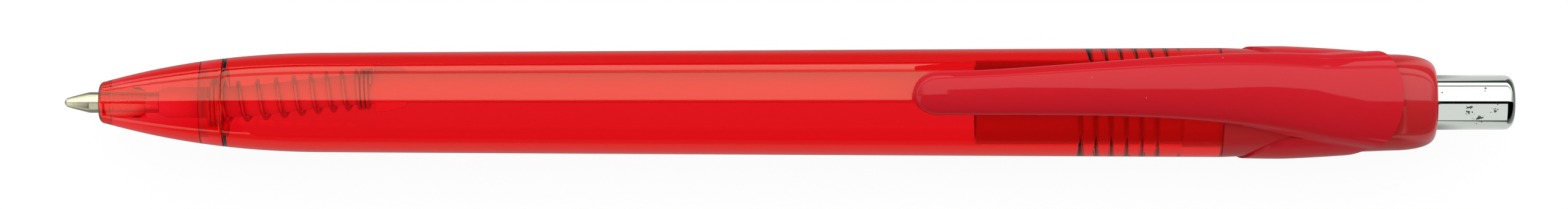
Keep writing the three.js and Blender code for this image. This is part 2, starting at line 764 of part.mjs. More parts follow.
// The nickel silver point: a cone that holds the ball, a straight neck, and a shank inside the tube.
function pointHousing() {
  const seat = BALL_RADIUS + BALL_CLEARANCE;
  const lip = Math.acos((BALL_SHOWN - BALL_RADIUS) / seat);
  const throat = Math.asin(INK_DUCT_RADIUS / seat);
  const cup = spread(throat, lip, 6).map((a) => [
    BALL_RADIUS + seat * Math.cos(a),
    seat * Math.sin(a),
  ]);
  const neckEnd = TUBE_FRONT - SEAM;
  const lipRadius = seat * Math.sin(lip) + BALL_RIM;
  return revolve(
    [
      ...cup,
      [BALL_SHOWN, lipRadius],
      [POINT_TIP_LENGTH, POINT_TIP_RADIUS],
      [POINT_CONE_LENGTH - BALL_SHOWN, POINT_RADIUS - BALL_RIM / 2],
      [POINT_CONE_LENGTH, POINT_RADIUS],
      [neckEnd, POINT_RADIUS],
      [neckEnd, SHANK_RADIUS],
      [neckEnd + POINT_SHANK_LENGTH, SHANK_RADIUS],
      [neckEnd + POINT_SHANK_LENGTH, SHANK_DUCT_RADIUS],
      [INK_DUCT_LENGTH + BALL_RADIUS, SHANK_DUCT_RADIUS],
      [INK_DUCT_LENGTH, INK_DUCT_RADIUS],
    ],
    SMALL_SIDES,
  );
}

// The refill's tube, with an ear on either side of the pen for the spring to press on.
function refillTube() {
  const tube = revolve(
    [
      [TUBE_FRONT, TUBE_BORE],
      [TUBE_FRONT, TUBE_RADIUS - TUBE_NECK_STEP],
      [TUBE_FRONT + TUBE_NECK_LENGTH, TUBE_RADIUS],
      [TUBE_REAR, TUBE_RADIUS],
      [TUBE_REAR, TUBE_BORE],
    ],
    SMALL_SIDES,
  );
  const inside = (TUBE_BORE + TUBE_RADIUS) / 2;
  const arc = spread(Math.PI / 2, 0, 5).map((a) => [
    EAR_FRONT + EAR_LENGTH * Math.sin(a),
    TUBE_RADIUS + (EAR_RADIUS - TUBE_RADIUS) * Math.cos(a),
  ]);
  const outline = [[EAR_FRONT, inside], [EAR_FRONT + EAR_LENGTH, inside], ...arc];
  const ear = turned(sidePrism(outline, EAR_THICKNESS / 2), TURN / 4);
  return tube.add(ear).add(turned(ear, TURN / 2));
}

// What fills the refill's bore from one station to another.
function rod(front, rear) {
  return revolve(
    [
      [front, 0],
      [front, SHANK_RADIUS],
      [rear, SHANK_RADIUS],
      [rear, 0],
    ],
    SMALL_SIDES / 2,
  );
}

// The centre line of a right-hand spring: close end coils, open coils, straight ends one wire thick.
function springPoints() {
  const endLength = END_COILS * END_PITCH;
  const wire = 2 * WIRE_RADIUS;
  const freeLength = SPRING_LENGTH - wire - 2 * endLength;
  const openTurn = END_COILS + FREE_COILS;
  const place = (turn) => {
    if (turn < END_COILS) return turn * END_PITCH;
    if (turn > openTurn) return endLength + freeLength + (turn - openTurn) * END_PITCH;
    return endLength + ((turn - END_COILS) / FREE_COILS) * freeLength;
  };
  const front = SPRING_SEAT + SEAM + WIRE_RADIUS;
  const coils = openTurn + END_COILS;
  const helix = spread(0, coils, coils * STEPS_PER_COIL).map((turn) => {
    const [y, z] = [-Math.sin(turn * TURN), Math.cos(turn * TURN)];
    return new THREE.Vector3(front + place(turn), SPRING_RADIUS * y, SPRING_RADIUS * z);
  });
  const lead = new THREE.Vector3(0, -wire, 0);
  const last = helix[helix.length - 1];
  return [helix[0].clone().sub(lead), ...helix, last.clone().add(lead)];
}

function returnSpring() {
  const points = springPoints();
  const rings = points.map((point, i) => {
    const before = points[Math.max(i - 1, 0)];
    const after = points[Math.min(i + 1, points.length - 1)];
    const along = after.clone().sub(before).normalize();
    const outward = new THREE.Vector3(0, point.y, point.z).normalize();
    const side = new THREE.Vector3().crossVectors(along, outward).normalize();
    const up = new THREE.Vector3().crossVectors(side, along);
    return spread(0, TURN, WIRE_SIDES)
      .slice(1)
      .map((a) => {
        const offset = up.clone().multiplyScalar(WIRE_RADIUS * Math.cos(a));
        offset.addScaledVector(side, WIRE_RADIUS * Math.sin(a));
        return point.clone().add(offset).toArray();
      });
  });
  console.log("spring: least gap to itself", leastGap(points).toFixed(2), "mm");
  return loft(rings);
}

// Least clear distance between stretches of the wire that lie more than half a coil apart.
function leastGap(points) {
  const parts = [0, 0.25, 0.5, 0.75];
  const fine = points.slice(1).flatMap((end, i) => parts.map((t) => points[i].clone().lerp(end, t)));
  const apart = STEPS_PER_COIL * 2;
  let least = Infinity;
  for (let i = 0; i < fine.length; i++) {
    for (let k = i + apart; k < fine.length; k++) least = Math.min(least, fine[i].distanceTo(fine[k]));
  }
  return least - 2 * WIRE_RADIUS;
}

const finishes = {
  clearRed: { color: 0xe0211c, roughness: 0.12, metalness: 0, transparent: true, opacity: 0.55 },
  solidRed: { color: 0xc41824, roughness: 0.25, metalness: 0 },
  plated: { color: 0xe4ebe6, roughness: 0.12, metalness: 1 },
  white: { color: 0xeeece4, roughness: 0.45, metalness: 0 },
  nickelSilver: { color: 0xcfcbae, roughness: 0.25, metalness: 1 },
  carbide: { color: 0x8c8c88, roughness: 0.2, metalness: 1 },
  ink: { color: 0x16181d, roughness: 0.4, metalness: 0 },
  grease: { color: 0xd8cfa0, roughness: 0.4, metalness: 0 },
  steel: { color: 0xb9bbb8, roughness: 0.3, metalness: 1 },
};

// A solid as a named mesh with its own material.
function piece(name, made, finish) {
  const { vertProperties, triVerts, numProp, numVert } = made.getMesh();
  const positions = new Float32Array(numVert * 3);
  for (let i = 0; i < numVert; i++) {
    positions.set(vertProperties.subarray(i * numProp, i * numProp + 3), i * 3);
  }
  const geometry = new THREE.BufferGeometry();
  geometry.setAttribute("position", new THREE.BufferAttribute(positions, 3));
  geometry.setIndex(new THREE.BufferAttribute(triVerts, 1));
  geometry.computeVertexNormals();
  const mesh = new THREE.Mesh(geometry, new THREE.MeshStandardMaterial(finishes[finish]));
  mesh.name = name;
  return mesh;
}

const inkFront = TUBE_FRONT + POINT_SHANK_LENGTH;
const followerEnd = ROTOR_FRONT - ROTOR_PIN_LENGTH - AIR_LENGTH;
const inkEnd = followerEnd - FOLLOWER_LENGTH - SEAM;

const housing = new THREE.Group();
housing.add(
  piece("nose_cone", noseCone(), "clearRed"),
  piece("barrel", barrel(), "clearRed"),
  piece("cap", cap(), "solidRed"),
  piece("clip", clip(), "solidRed"),
  piece("return_spring", returnSpring(), "steel"),
);

const button = new THREE.Group();
button.add(piece("push_button", pushButton(), "plated"), piece("plunger", plunger(), "white"));

const refill = new THREE.Group();
refill.add(
  piece("point_housing", pointHousing(), "nickelSilver"),
  piece("refill_tube", refillTube(), "white"),
  piece("ink_column", rod(inkFront, inkEnd), "ink"),
  piece("ink_follower", rod(inkEnd + SEAM, followerEnd), "grease"),
  piece("rotor_cam", rotorCam(), "white"),
  piece("writing_ball", writingBall(), "carbide"),
);

// The origin is under the middle of the pen, on the surface that the ring's lowest facet lies on.
const pen = new THREE.Group();
pen.position.set(-PEN_END / 2, 0, RING_RADIUS * Math.cos(Math.PI / SHELL_SIDES));
pen.add(housing, button, refill);

export default new THREE.Group().add(pen);
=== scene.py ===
"""Retractable ball pen: see-through red barrel and nose, solid red cap and clip, plated button."""

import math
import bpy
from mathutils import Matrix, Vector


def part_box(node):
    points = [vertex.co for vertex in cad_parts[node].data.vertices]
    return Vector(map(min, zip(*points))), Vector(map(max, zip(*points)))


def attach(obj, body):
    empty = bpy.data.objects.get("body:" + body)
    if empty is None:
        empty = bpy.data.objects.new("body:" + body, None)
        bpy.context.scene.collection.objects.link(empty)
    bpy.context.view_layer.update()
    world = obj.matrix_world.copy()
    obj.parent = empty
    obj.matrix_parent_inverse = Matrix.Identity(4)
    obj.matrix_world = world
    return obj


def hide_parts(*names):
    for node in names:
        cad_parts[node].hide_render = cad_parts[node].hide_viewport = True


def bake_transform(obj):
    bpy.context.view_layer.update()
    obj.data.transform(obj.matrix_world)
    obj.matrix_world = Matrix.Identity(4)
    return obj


bl_info = {
    "name": "Retractable Ball Pen",
    "version": (1, 0, 0),
    "blender": (4, 5, 0),
    "location": "3D View > Sidebar > Ball Pen",
    "description": "Models and finishes a see-through retractable ball pen in its packed frame",
    "category": "Add Mesh",
}

import bpy
from bpy.props import FloatProperty, FloatVectorProperty, PointerProperty
from mathutils import Vector

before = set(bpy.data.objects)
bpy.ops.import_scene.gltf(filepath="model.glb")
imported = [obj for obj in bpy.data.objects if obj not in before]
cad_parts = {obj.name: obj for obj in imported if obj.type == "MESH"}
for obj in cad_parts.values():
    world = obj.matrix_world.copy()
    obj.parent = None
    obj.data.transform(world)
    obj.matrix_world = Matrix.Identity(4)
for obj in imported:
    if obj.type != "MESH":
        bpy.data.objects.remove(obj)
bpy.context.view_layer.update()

MM = 0.001
TURN = 2 * math.pi
MERGE = 0.0005 * MM
WHITE = (1, 1, 1, 1)
SMOOTH = {"interpolation_type": "SMOOTHSTEP"}

# The pen's axis, and stations along it: distances behind the front of the ball
TIP_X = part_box("writing_ball")[0].x
AXIS_Z = sum(corner.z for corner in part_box("barrel")) / 2


def ends(node):
    """Stations of the front and the rear of a CAD node."""
    return [corner.x - TIP_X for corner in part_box(node)]


NOSE_FRONT, NOSE_REAR = ends("nose_cone")
SPIGOT_FRONT, BARREL_REAR = ends("barrel")
TAIL_FRONT, CAP_END = ends("cap")
CLIP_TIP, RING_REAR = ends("clip")
BUTTON_FRONT, PEN_END = ends("push_button")
SPRING_FRONT, SPRING_REAR = ends("return_spring")
TUBE_FRONT, TUBE_REAR = ends("refill_tube")
POINT_FRONT, SHANK_REAR = ends("point_housing")
SEAM = 0.05 * MM
BARREL_FRONT = NOSE_REAR + SEAM
CAP_FRONT = BARREL_REAR + SEAM
THREAD_FRONT = CAP_FRONT - 13.9 * MM
THREAD_REAR = CAP_FRONT - 4.1 * MM
CLIP_ROOT = CAP_FRONT + 8.1 * MM
ARM_LENGTH = CAP_FRONT - CLIP_TIP
RING_HUMP = 0.17 * MM

# Facets round the large turned pieces and the small ones
SHELL_SIDES = 128
SMALL_SIDES = 72


def linear(code):
    """A hex sRGB colour as linear red, green and blue."""
    parts = [int(code[i : i + 2], 16) / 255 for i in (1, 3, 5)]
    return tuple(c / 12.92 if c <= 0.04045 else ((c + 0.055) / 1.055) ** 2.4 for c in parts)


def length(name, millimetres, description):
    """A size that the user can change, given in millimetres."""
    return FloatProperty(
        name=name, description=description, default=millimetres * MM, min=0, unit="LENGTH", precision=5
    )


def colour(name, code, description):
    """A colour that the user can change, given as a hex sRGB value."""
    return FloatVectorProperty(
        name=name, description=description, default=linear(code), min=0, max=1, subtype="COLOR"
    )


class PenHousingSizes(bpy.types.PropertyGroup):
    """Nose, barrel and cap."""

    nose_radius: length("Nose radius", 2.05, "Outside radius behind the rounded front of the nose")
    nose_rounding: length("Nose rounding", 0.6, "Radius of the rounded front edge")
    grip_radius: length("Grip radius", 4.82, "Outside radius where the nose's curve ends")
    grip_setback: length("Grip setback", 22.6, "From the nose's front to the end of its curve")
    rear_radius: length("Rear radius", 5.29, "Outside radius where barrel and cap meet")
    barrel_wall: length("Barrel wall", 0.95, "Wall thickness of the barrel")
    nose_wall: length("Nose wall", 1.0, "Wall thickness at the nose's rear")
    nose_front_wall: length("Nose front wall", 0.6, "Wall thickness beside the point's guide")
    guide_bore: length("Guide bore", 1.08, "Radius of the hole that the point slides in")
    guide_length: length("Guide length", 4.6, "Length of the guide tube from the nose's front")
    tail_wall: length("Tail wall", 0.5, "Wall thickness of the cap's tail")
    thread_pitch: length("Thread pitch", 1.47, "Pitch of the screw between cap and barrel")
    thread_depth: length("Thread depth", 0.3, "Height of the screw's ridge")
    cap_taper: length("Cap taper", 0.64, "Loss of radius from the cap's front to its rounded end")
    cap_rounding: length("Cap rounding", 4.0, "Length of the cap's rounded end")


class PenClipSizes(bpy.types.PropertyGroup):
    """Clip and its ring."""

    tip_half_width: length("Tip half width", 2.05, "Half of the arm's width at its tip")
    middle_half_width: length("Middle half width", 2.95, "Half of the arm's width before its root")
    root_half_width: length("Root half width", 4.02, "Half of the arm's width where the ring starts")
    rear_half_width: length("Rear half width", 4.9, "Half of the arm's width at the ring's rear")
    tip_lift: length("Tip lift", 1.66, "Crest above the barrel's rear radius at the tip")
    top_lift: length("Top lift", 3.11, "Crest above the barrel's rear radius at its highest")
    root_lift: length("Root lift", 1.31, "Crest above the barrel's rear radius at the root")
    rear_drop: length("Rear drop", 0.44, "Crest below the barrel's rear radius at the rear")
    tip_rounding: length("Tip rounding", 2.3, "Length of the rounded tip")
    rim: length("Rim", 0.3, "Height of the arm's upright edge")
    gap: length("Gap", 0.38, "Between the arm and the barrel")
    blend: length("Blend", 0.55, "Radius of the hollow between arm and ring")
    lean: length("Lean", 0.55, "How far the arm leans to the far side ahead of its root")
    nub_radius: length("Nub radius", 1.1, "Radius of the gripping nub")
    nub_setback: length("Nub setback", 3.4, "From the tip to the nub")
    channel_width: length("Channel width", 2, "Width of the hollow under the arm")
    channel_depth: length("Channel depth", 0.7, "Depth of the hollow under the arm")


class PenRefillSizes(bpy.types.PropertyGroup):
    """Refill, writing point and return spring."""

    tube_radius: length("Tube radius", 1.5, "Outside radius of the refill")
    tube_bore: length("Tube bore", 1.0, "Inside radius of the refill")
    neck_radius: length("Neck radius", 1.0, "Outside radius of the writing point")
    cone_length: length("Cone length", 2.5, "From the ball to the straight neck")
    ball_radius: length("Ball radius", 0.35, "Radius of the writing ball")
    ear_length: length("Ear length", 3.2, "Length of the ears that the spring presses on")
    ear_thickness: length("Ear thickness", 0.6, "Thickness of an ear")
    ear_reach: length("Ear reach", 2.35, "From the axis to the top of an ear")
    bow: length("Bow", 1.45, "How far the slack refill bends to the far side")
    spring_radius: length("Spring radius", 1.88, "Mean radius of the spring's open coils")
    spring_front_radius: length("Spring front radius", 2.26, "Mean radius of its closed front coils")
    wire_radius: length("Wire radius", 0.19, "Radius of the spring's wire")
    closed_coils: FloatProperty(
        name="Closed coils", description="Coils that touch at each end", default=3, min=1
    )
    open_coils: FloatProperty(name="Open coils", description="Coils that work", default=8, min=1)


class PenButtonSizes(bpy.types.PropertyGroup):
    """Push button."""

    radius: length("Radius", 2.65, "Outside radius of the push button")
    corner: length("Corner", 0.9, "Radius of the rounded end")
    wall: length("Wall", 0.45, "Wall thickness round the plunger")
    end_wall: length("End wall", 0.9, "Thickness of the end that the thumb presses")


class PenColours(bpy.types.PropertyGroup):
    """Colours of the finishes."""

    clear_red: colour("Clear red", "#fc3672", "Tint of the see-through nose and barrel")
    clear_gloss: colour("Clear gloss", "#fff9d4", "Tint of what nose and barrel mirror")
    cap_red: colour("Cap red", "#c2262a", "Solid plastic of the cap")
    clip_red: colour("Clip red", "#cc1c28", "Solid plastic of the clip")
    plating: colour("Plating", "#bfc5bf", "Bright plating of the push button")
    dust: colour("Dust", "#e7c4bc", "Specks on cap and clip")
    chipped: colour("Chipped", "#4a4a42", "Plastic under chipped plating")
    nickel_silver: colour("Nickel silver", "#cac6aa", "Turned metal of the writing point")
    carbide: colour("Carbide", "#8f908c", "Ground ball")
    steel: colour("Steel", "#c4c5c0", "Drawn wire of the spring")
    milky: colour("Milky", "#f8f5ee", "Natural polypropylene of the refill")
    acetal: colour("Acetal", "#eceae2", "White plastic of the mechanism")
    ink: colour("Ink", "#14161b", "Paste ink")
    grease: colour("Grease", "#d8cfa0", "Plug behind the ink")


def spread(start, end, count):
    """Evenly spaced values from start to end, both included."""
    return [start + (end - start) * i / count for i in range(count + 1)]


def quarter(count):
    """Angles of a quarter turn."""
    return spread(0, math.pi / 2, count)


def on_pen(station, across, up):
    """The point at a station, so far across the pen and above its axis."""
    return Vector((TIP_X + station, across, AXIS_Z + up))


def body_radius(station):
    """Outside radius of nose and barrel: an ogive to the grip, then a slow swell."""
    sizes = bpy.context.scene.pen_housing
    grip = NOSE_FRONT + sizes.grip_setback
    if station < grip:
        along = (station - NOSE_FRONT - sizes.nose_rounding) / (sizes.grip_setback - sizes.nose_rounding)
        short = (1 - max(along, 0)) ** 2.2
        return sizes.grip_radius - (sizes.grip_radius - sizes.nose_radius) * short
    swell = min((station - grip) / (CAP_FRONT - grip), 1) ** 0.9
    return sizes.grip_radius + (sizes.rear_radius - sizes.grip_radius) * swell


def cap_radius(station):
    """Outside radius of the cap ahead of its rounded end."""
    sizes = bpy.context.scene.pen_housing
    along = (station - CAP_FRONT) / (CAP_END - CAP_FRONT - sizes.cap_rounding)
    return sizes.rear_radius - sizes.cap_taper * along


def seat_radius(station):
    """Radius of the seat in the cap that the ring sits on."""
    depth = 0.35 * MM
    return cap_radius(station) - depth


def rear_edge(height):
    """Station of the ring's slanted rear edge at a height above the axis."""
    middle = CAP_FRONT + 12.6 * MM
    slant = 4.35 * MM
    return middle + slant * height / cap_radius(RING_REAR)


def cubic(knots, x):
    """The cubic curve through four (x, y) knots, at x."""
    total = 0
    for i, (xi, yi) in enumerate(knots):
        weight = yi
        for k, (xk, _) in enumerate(knots):
            if k != i:
                weight *= (x - xk) / (xi - xk)
        total += weight
    return total


def tail_radius():
    """Outside radius of the cap's tail, a little under the barrel's bore."""
    play = 0.16 * MM
    return body_radius(TAIL_FRONT) - bpy.context.scene.pen_housing.barrel_wall - play


def ring_radius(station):
    """Outside radius of the clip's ring: a low hump that runs out to the cap at the rear."""
    rear_radius = bpy.context.scene.pen_housing.rear_radius
    front_lift = 0.04 * MM
    rear_lift = 0.12 * MM
    crest = 5.7 * MM
    behind = station - CAP_FRONT
    if behind < crest:
        rise = math.sin(behind / crest * math.pi / 2)
        return rear_radius + front_lift + (RING_HUMP - front_lift) * rise
    fall = ((behind - crest) / (RING_REAR - CAP_FRONT - crest)) ** 1.3
    high = rear_radius + RING_HUMP
    return high + (cap_radius(RING_REAR) + rear_lift - high) * fall


def smooth_curve(knots, steps):
    """Points of a smooth curve through (station, height) knots, with so many steps between two."""
    points = []
    knots = [knots[0], *knots, knots[-1]]
    for stretch in zip(knots, knots[1:], knots[2:], knots[3:]):
        for t in spread(0, 1, steps)[:-1]:
            weights = (2 * t**2 - t - t**3, 2 - 5 * t**2 + 3 * t**3, t + 4 * t**2 - 3 * t**3, t**3 - t**2)
            points.append([sum(w * knot[i] for w, knot in zip(weights, stretch)) / 2 for i in (0, 1)])
    return points + [knots[-1]]


def ring_front_edge(play):
    """The ring's front edge seen from the side, from below up to the clip's root, moved forward by play."""
    crest = bpy.context.scene.pen_housing.rear_radius + RING_HUMP
    middle = CAP_FRONT + 2.4 * MM
    knots = [
        (middle - 2.7 * MM, -1.2 * crest),
        (middle - 1.5 * MM, -0.75 * crest),
        (middle - 0.27 * MM, -0.15 * crest),
        (middle + 0.68 * MM, 0.22 * crest),
        (middle + 2.7 * MM, 2.8 * MM),
        (CLIP_ROOT - 1.0 * MM, 3.48 * MM),
        (CLIP_ROOT, 4 * MM),
    ]
    return [(station - play, height) for station, height in smooth_curve(knots, 4)]


def arm(station):
    """Half width, crown and rim height of the clip's arm at a station."""
    sizes = bpy.context.scene.pen_clip
    rear_radius = bpy.context.scene.pen_housing.rear_radius
    half_knots = [
        (CLIP_TIP, sizes.tip_half_width),
        (CLIP_TIP + 0.8 * ARM_LENGTH, sizes.middle_half_width),
        (CLIP_ROOT, sizes.root_half_width),
        (RING_REAR, sizes.rear_half_width),
    ]
    crest_knots = [
        (CLIP_TIP, rear_radius + sizes.tip_lift),
        (CLIP_TIP + 0.6 * ARM_LENGTH, rear_radius + sizes.top_lift),
        (CLIP_ROOT, rear_radius + sizes.root_lift),
        (RING_REAR, rear_radius - sizes.rear_drop),
    ]
    half = cubic(half_knots, station)
    roundness = 0.68
    crown = roundness * half
    return half, crown, cubic(crest_knots, station) - crown


def arm_reach(station, angle):
    """How far the arm reaches from the axis, at an angle from straight up."""
    sizes = bpy.context.scene.pen_clip
    half, crown, rim = arm(station)
    from_tip = min((station - CLIP_TIP) / sizes.tip_rounding, 1)
    rounded = math.sqrt(max(1 - (1 - from_tip) ** 2, 1e-6))
    half, crown = half * rounded, crown * rounded
    up, across = math.cos(angle), abs(math.sin(angle))
    # Where a ray from the axis meets the elliptic crown
    a = (across / half) ** 2 + (up / crown) ** 2
    b = -2 * up * rim / crown**2
    c = (rim / crown) ** 2 - 1
    inside = b * b - 4 * a * c
    if inside >= 0:
        reach = (-b + math.sqrt(inside)) / (2 * a)
        if reach * up >= rim:
            return reach
    # Under the crown the edge stands upright, and under that it slants inwards
    low = rim - sizes.rim
    if up <= 0:
        return 0
    if half * up >= low * across:
        return half / across
    slant = 0.35 * rounded
    return (half - slant * low) / (across - slant * up)


def clip_reach(station, angle):
    """Arm and ring together, blended in the hollow between them."""
    blend = bpy.context.scene.pen_clip.blend
    core = 3 * MM
    ring_start = CAP_FRONT - 4 * MM
    on_arm = arm_reach(station, angle)
    on_ring = ring_radius(station) if station > ring_start else core
    on_ring = max(on_ring, core)
    near = max(blend - abs(on_arm - on_ring), 0) / blend
    return max(on_arm, on_ring) + near * near * blend / 4


def clip_point(station, angle):
    """A point of the clip's outside, moved to the far side where the arm stands proud of the ring."""
    sizes = bpy.context.scene.pen_clip
    lean_knots = [
        (CLIP_TIP + 3 * MM, 0),
        (CLIP_TIP + 0.6 * ARM_LENGTH, sizes.lean * 0.6),
        (CAP_FRONT, sizes.lean),
        (CLIP_ROOT + 2 * MM, 0),
    ]
    radius = clip_reach(station, angle)
    proud = min(max((radius - ring_radius(max(station, CAP_FRONT))) / sizes.blend, 0), 1)
    if not lean_knots[0][0] < station < lean_knots[-1][0]:
        proud = 0
    across = radius * math.sin(angle) + proud * cubic(lean_knots, station)
    return on_pen(station, across, radius * math.cos(angle))


def bow(piece):
    """Bends a refill piece to the far side between the spring's seat and the cam, as a slack one lies."""
    start, end = SPRING_FRONT, TUBE_REAR - 4 * MM
    reach = 18 * MM
    for vertex in piece.data.vertices:
        station = vertex.co.x - TIP_X
        share = min(max(min(station - start, end - station) / reach, 0), 1)
        vertex.co.y += bpy.context.scene.pen_refill.bow * share * share * (3 - 2 * share)


def deselect():
    """Object mode, with nothing selected."""
    if bpy.context.mode != "OBJECT":
        bpy.ops.object.mode_set(mode="OBJECT")
    bpy.ops.object.select_all(action="DESELECT")


def select(piece):
    """Object mode, with only this piece selected and active."""
    deselect()
    piece.select_set(True)
    bpy.context.view_layer.objects.active = piece


def draw(name, points, closed):
    """A line of edges through points, drawn by extruding one vertex again and again."""
    deselect()
    bpy.ops.mesh.primitive_plane_add(size=MM, location=points[0])
    piece = bpy.context.object
    piece.name = name
    bpy.ops.object.transform_apply(location=True, rotation=False, scale=False)
    bpy.ops.object.mode_set(mode="EDIT")
    bpy.ops.mesh.merge(type="CENTER")
    for here, there in zip(points, points[1:] + points[:1] * closed):
        bpy.ops.mesh.extrude_vertices_move(TRANSFORM_OT_translate={"value": there - here})
    bpy.ops.mesh.select_all(action="SELECT")
    bpy.ops.mesh.remove_doubles(threshold=MERGE)
    return piece


def close_up():
    """Ends edit mode with doubles merged and all faces pointing out."""
    bpy.ops.mesh.select_all(action="SELECT")
    bpy.ops.mesh.remove_doubles(threshold=MERGE)
    bpy.ops.mesh.normals_make_consistent(inside=False)
    bpy.ops.object.mode_set(mode="OBJECT")


def lathe(name, profile, sides):
    """A closed profile of (station, radius) points spun round the pen's axis."""
    closed = profile[0][1] > 0 or profile[-1][1] > 0
    piece = draw(name, [on_pen(station, 0, radius) for station, radius in profile], closed)
    bpy.ops.mesh.spin(steps=sides, angle=TURN, center=on_pen(0, 0, 0), axis=(1, 0, 0))
    close_up()
    return piece


def side_prism(name, outline, half_width):
    """An outline of (station, height) points seen from the side, drawn right across the pen."""
    piece = draw(name, [on_pen(station, -half_width, up) for station, up in outline], True)
    bpy.ops.mesh.edge_face_add()
    bpy.ops.mesh.extrude_region_move(TRANSFORM_OT_translate={"value": (0, 2 * half_width, 0)})
    close_up()
    return piece


def skin(name, rings):
    """A grid laid over closed rings of points, with its seam merged and its ends filled."""
    deselect()
    around = len(rings[0])
    bpy.ops.mesh.primitive_grid_add(
        x_subdivisions=around, y_subdivisions=len(rings) - 1, size=MM, location=(0, 0, 0)
    )
    piece = bpy.context.object
    piece.name = name
    for row, ring in enumerate(rings):
        for column in range(around + 1):
            piece.data.vertices[row * (around + 1) + column].co = ring[column % around]
    bpy.ops.object.mode_set(mode="EDIT")
    bpy.ops.mesh.select_all(action="SELECT")
    bpy.ops.mesh.remove_doubles(threshold=MERGE)
    bpy.ops.mesh.fill_holes(sides=0)
    close_up()
    return piece


def combine(piece, other, operation):
    """Cuts, joins or intersects a piece with another, which goes, and returns the piece."""
    select(piece)
    modifier = piece.modifiers.new(operation, "BOOLEAN")
    modifier.operation = operation
    modifier.solver = "MANIFOLD"
    modifier.object = other
    bpy.ops.object.modifier_apply(modifier=modifier.name)
    bpy.data.objects.remove(other)
    return piece


def round_edges(piece, width, sharp=40):
    """Bevels the edges that are sharper than an angle in degrees, and returns the piece."""
    select(piece)
    modifier = piece.modifiers.new("Rounded", "BEVEL")
    modifier.width = width
    modifier.segments = 3
    modifier.limit_method = "ANGLE"
    modifier.angle_limit = math.radians(sharp)
    bpy.ops.object.modifier_apply(modifier=modifier.name)
    return piece


def screw_thread(root, crest, half):
    """A screw thread: a three-sided ridge, half so wide at its root, swept along a helix."""
    corners = [(-half, root), (0, crest), (half, root)]
    piece = draw("screw_thread", [on_pen(THREAD_FRONT + s, 0, r) for s, r in corners], True)
    bpy.ops.object.mode_set(mode="OBJECT")
    bpy.context.scene.cursor.location = on_pen(THREAD_FRONT, 0, 0)
    bpy.ops.object.origin_set(type="ORIGIN_CURSOR")
    modifier = piece.modifiers.new("Helix", "SCREW")
    modifier.axis = "X"
    modifier.angle = TURN
    modifier.screw_offset = bpy.context.scene.pen_housing.thread_pitch
    modifier.iterations = 6
    modifier.steps = modifier.render_steps = 64
    bpy.ops.object.modifier_apply(modifier=modifier.name)
    bpy.ops.object.transform_apply(location=True, rotation=False, scale=False)
    bpy.ops.object.mode_set(mode="EDIT")
    bpy.ops.mesh.select_all(action="SELECT")
    bpy.ops.mesh.fill_holes(sides=0)
    close_up()
    return piece


def cam_ribs(bore, rear):
    """Four ribs with stepped front ends inside the cap, parted by slots for the fins."""
    front = CAP_FRONT - SEAM
    height = 0.95 * MM
    sunk = 0.1 * MM
    step = 0.6 * MM
    slot_width = 1.4 * MM
    sides, sides_in_step = 64, 8
    inside, outside = bore - height, bore + sunk
    profile = [(front, inside), (rear + sunk, inside), (rear + sunk, outside), (front, outside)]
    sleeve = lathe("cam_sleeve", profile, sides)
    for vertex in sleeve.data.vertices:
        if vertex.co.x < on_pen(front + step / 2, 0, 0).x:
            angle = math.atan2(vertex.co.y, vertex.co.z - AXIS_Z) % TURN
            vertex.co.x += step * (round(angle / TURN * sides) % sides_in_step) / sides_in_step
    for turn in range(2):
        deselect()
        bpy.ops.mesh.primitive_cube_add(size=1, location=on_pen((front + rear - sunk) / 2, 0, 0))
        slot = bpy.context.object
        slot.scale = (rear - front + sunk, slot_width, 2 * bore + 4 * sunk)
        slot.rotation_euler.x = turn * math.pi / 2
        bpy.ops.object.transform_apply(location=True, rotation=True, scale=True)
        combine(sleeve, slot, "DIFFERENCE")
    return sleeve


# Sockets in order: a MapRange reads a value, its start and end, and the values to give there.
# Sockets by number: a Mix reads its factor at 0, its two values at 2 and 3, its two colours at 6 and 7.
def add_node(tree, kind, sockets=(), **settings):
    """A shader node with its settings; its sockets, by name, by number or in order, are set or linked."""
    node = tree.nodes.new("ShaderNode" + kind)
    for key, value in settings.items():
        setattr(node, key, value)
    for key, value in sockets.items() if isinstance(sockets, dict) else enumerate(sockets):
        if isinstance(value, bpy.types.Node):
            value = value.outputs[0]
        if isinstance(value, bpy.types.NodeSocket):
            tree.links.new(value, node.inputs[key])
        else:
            node.inputs[key].default_value = value
    return node


def new_material(name):
    """A material, its tree with nothing else in it, and the object's coordinates."""
    material = bpy.data.materials.new(name)
    material.use_nodes = True
    tree = material.node_tree
    tree.nodes.clear()
    return material, tree, add_node(tree, "TexCoord").outputs["Object"]


def clear_polystyrene(name):
    """Clear tinted polystyrene, moulded in a polished tool: the tint deepens with its thickness."""
    material, tree, place = new_material(name)
    colours = bpy.context.scene.pen_colours
    # Flow lines run along the pen, some 30 mm long and 1.2 mm apart
    stretched = add_node(tree, "Mapping", {"Vector": place, "Scale": (33, 830, 830)})
    flow = add_node(tree, "TexNoise", {"Vector": stretched, "Scale": 1, "Detail": 3})
    sockets = {
        "Base Color": WHITE,
        "Roughness": 0.02,
        "IOR": 1.58,
        "Transmission Weight": 1,
        "Specular Tint": (*colours.clear_gloss, 1),
        "Normal": add_node(tree, "Bump", {"Height": flow, "Strength": 0.05, "Distance": 0.05 * MM}),
    }
    shader = add_node(tree, "BsdfPrincipled", sockets)
    # At this density 2 mm of plastic let through 87 % of the red and almost no green or blue
    dye = add_node(tree, "VolumeAbsorption", {"Color": (*colours.clear_red, 1), "Density": 2700})
    add_node(tree, "OutputMaterial", {"Surface": shader, "Volume": dye})
    return material


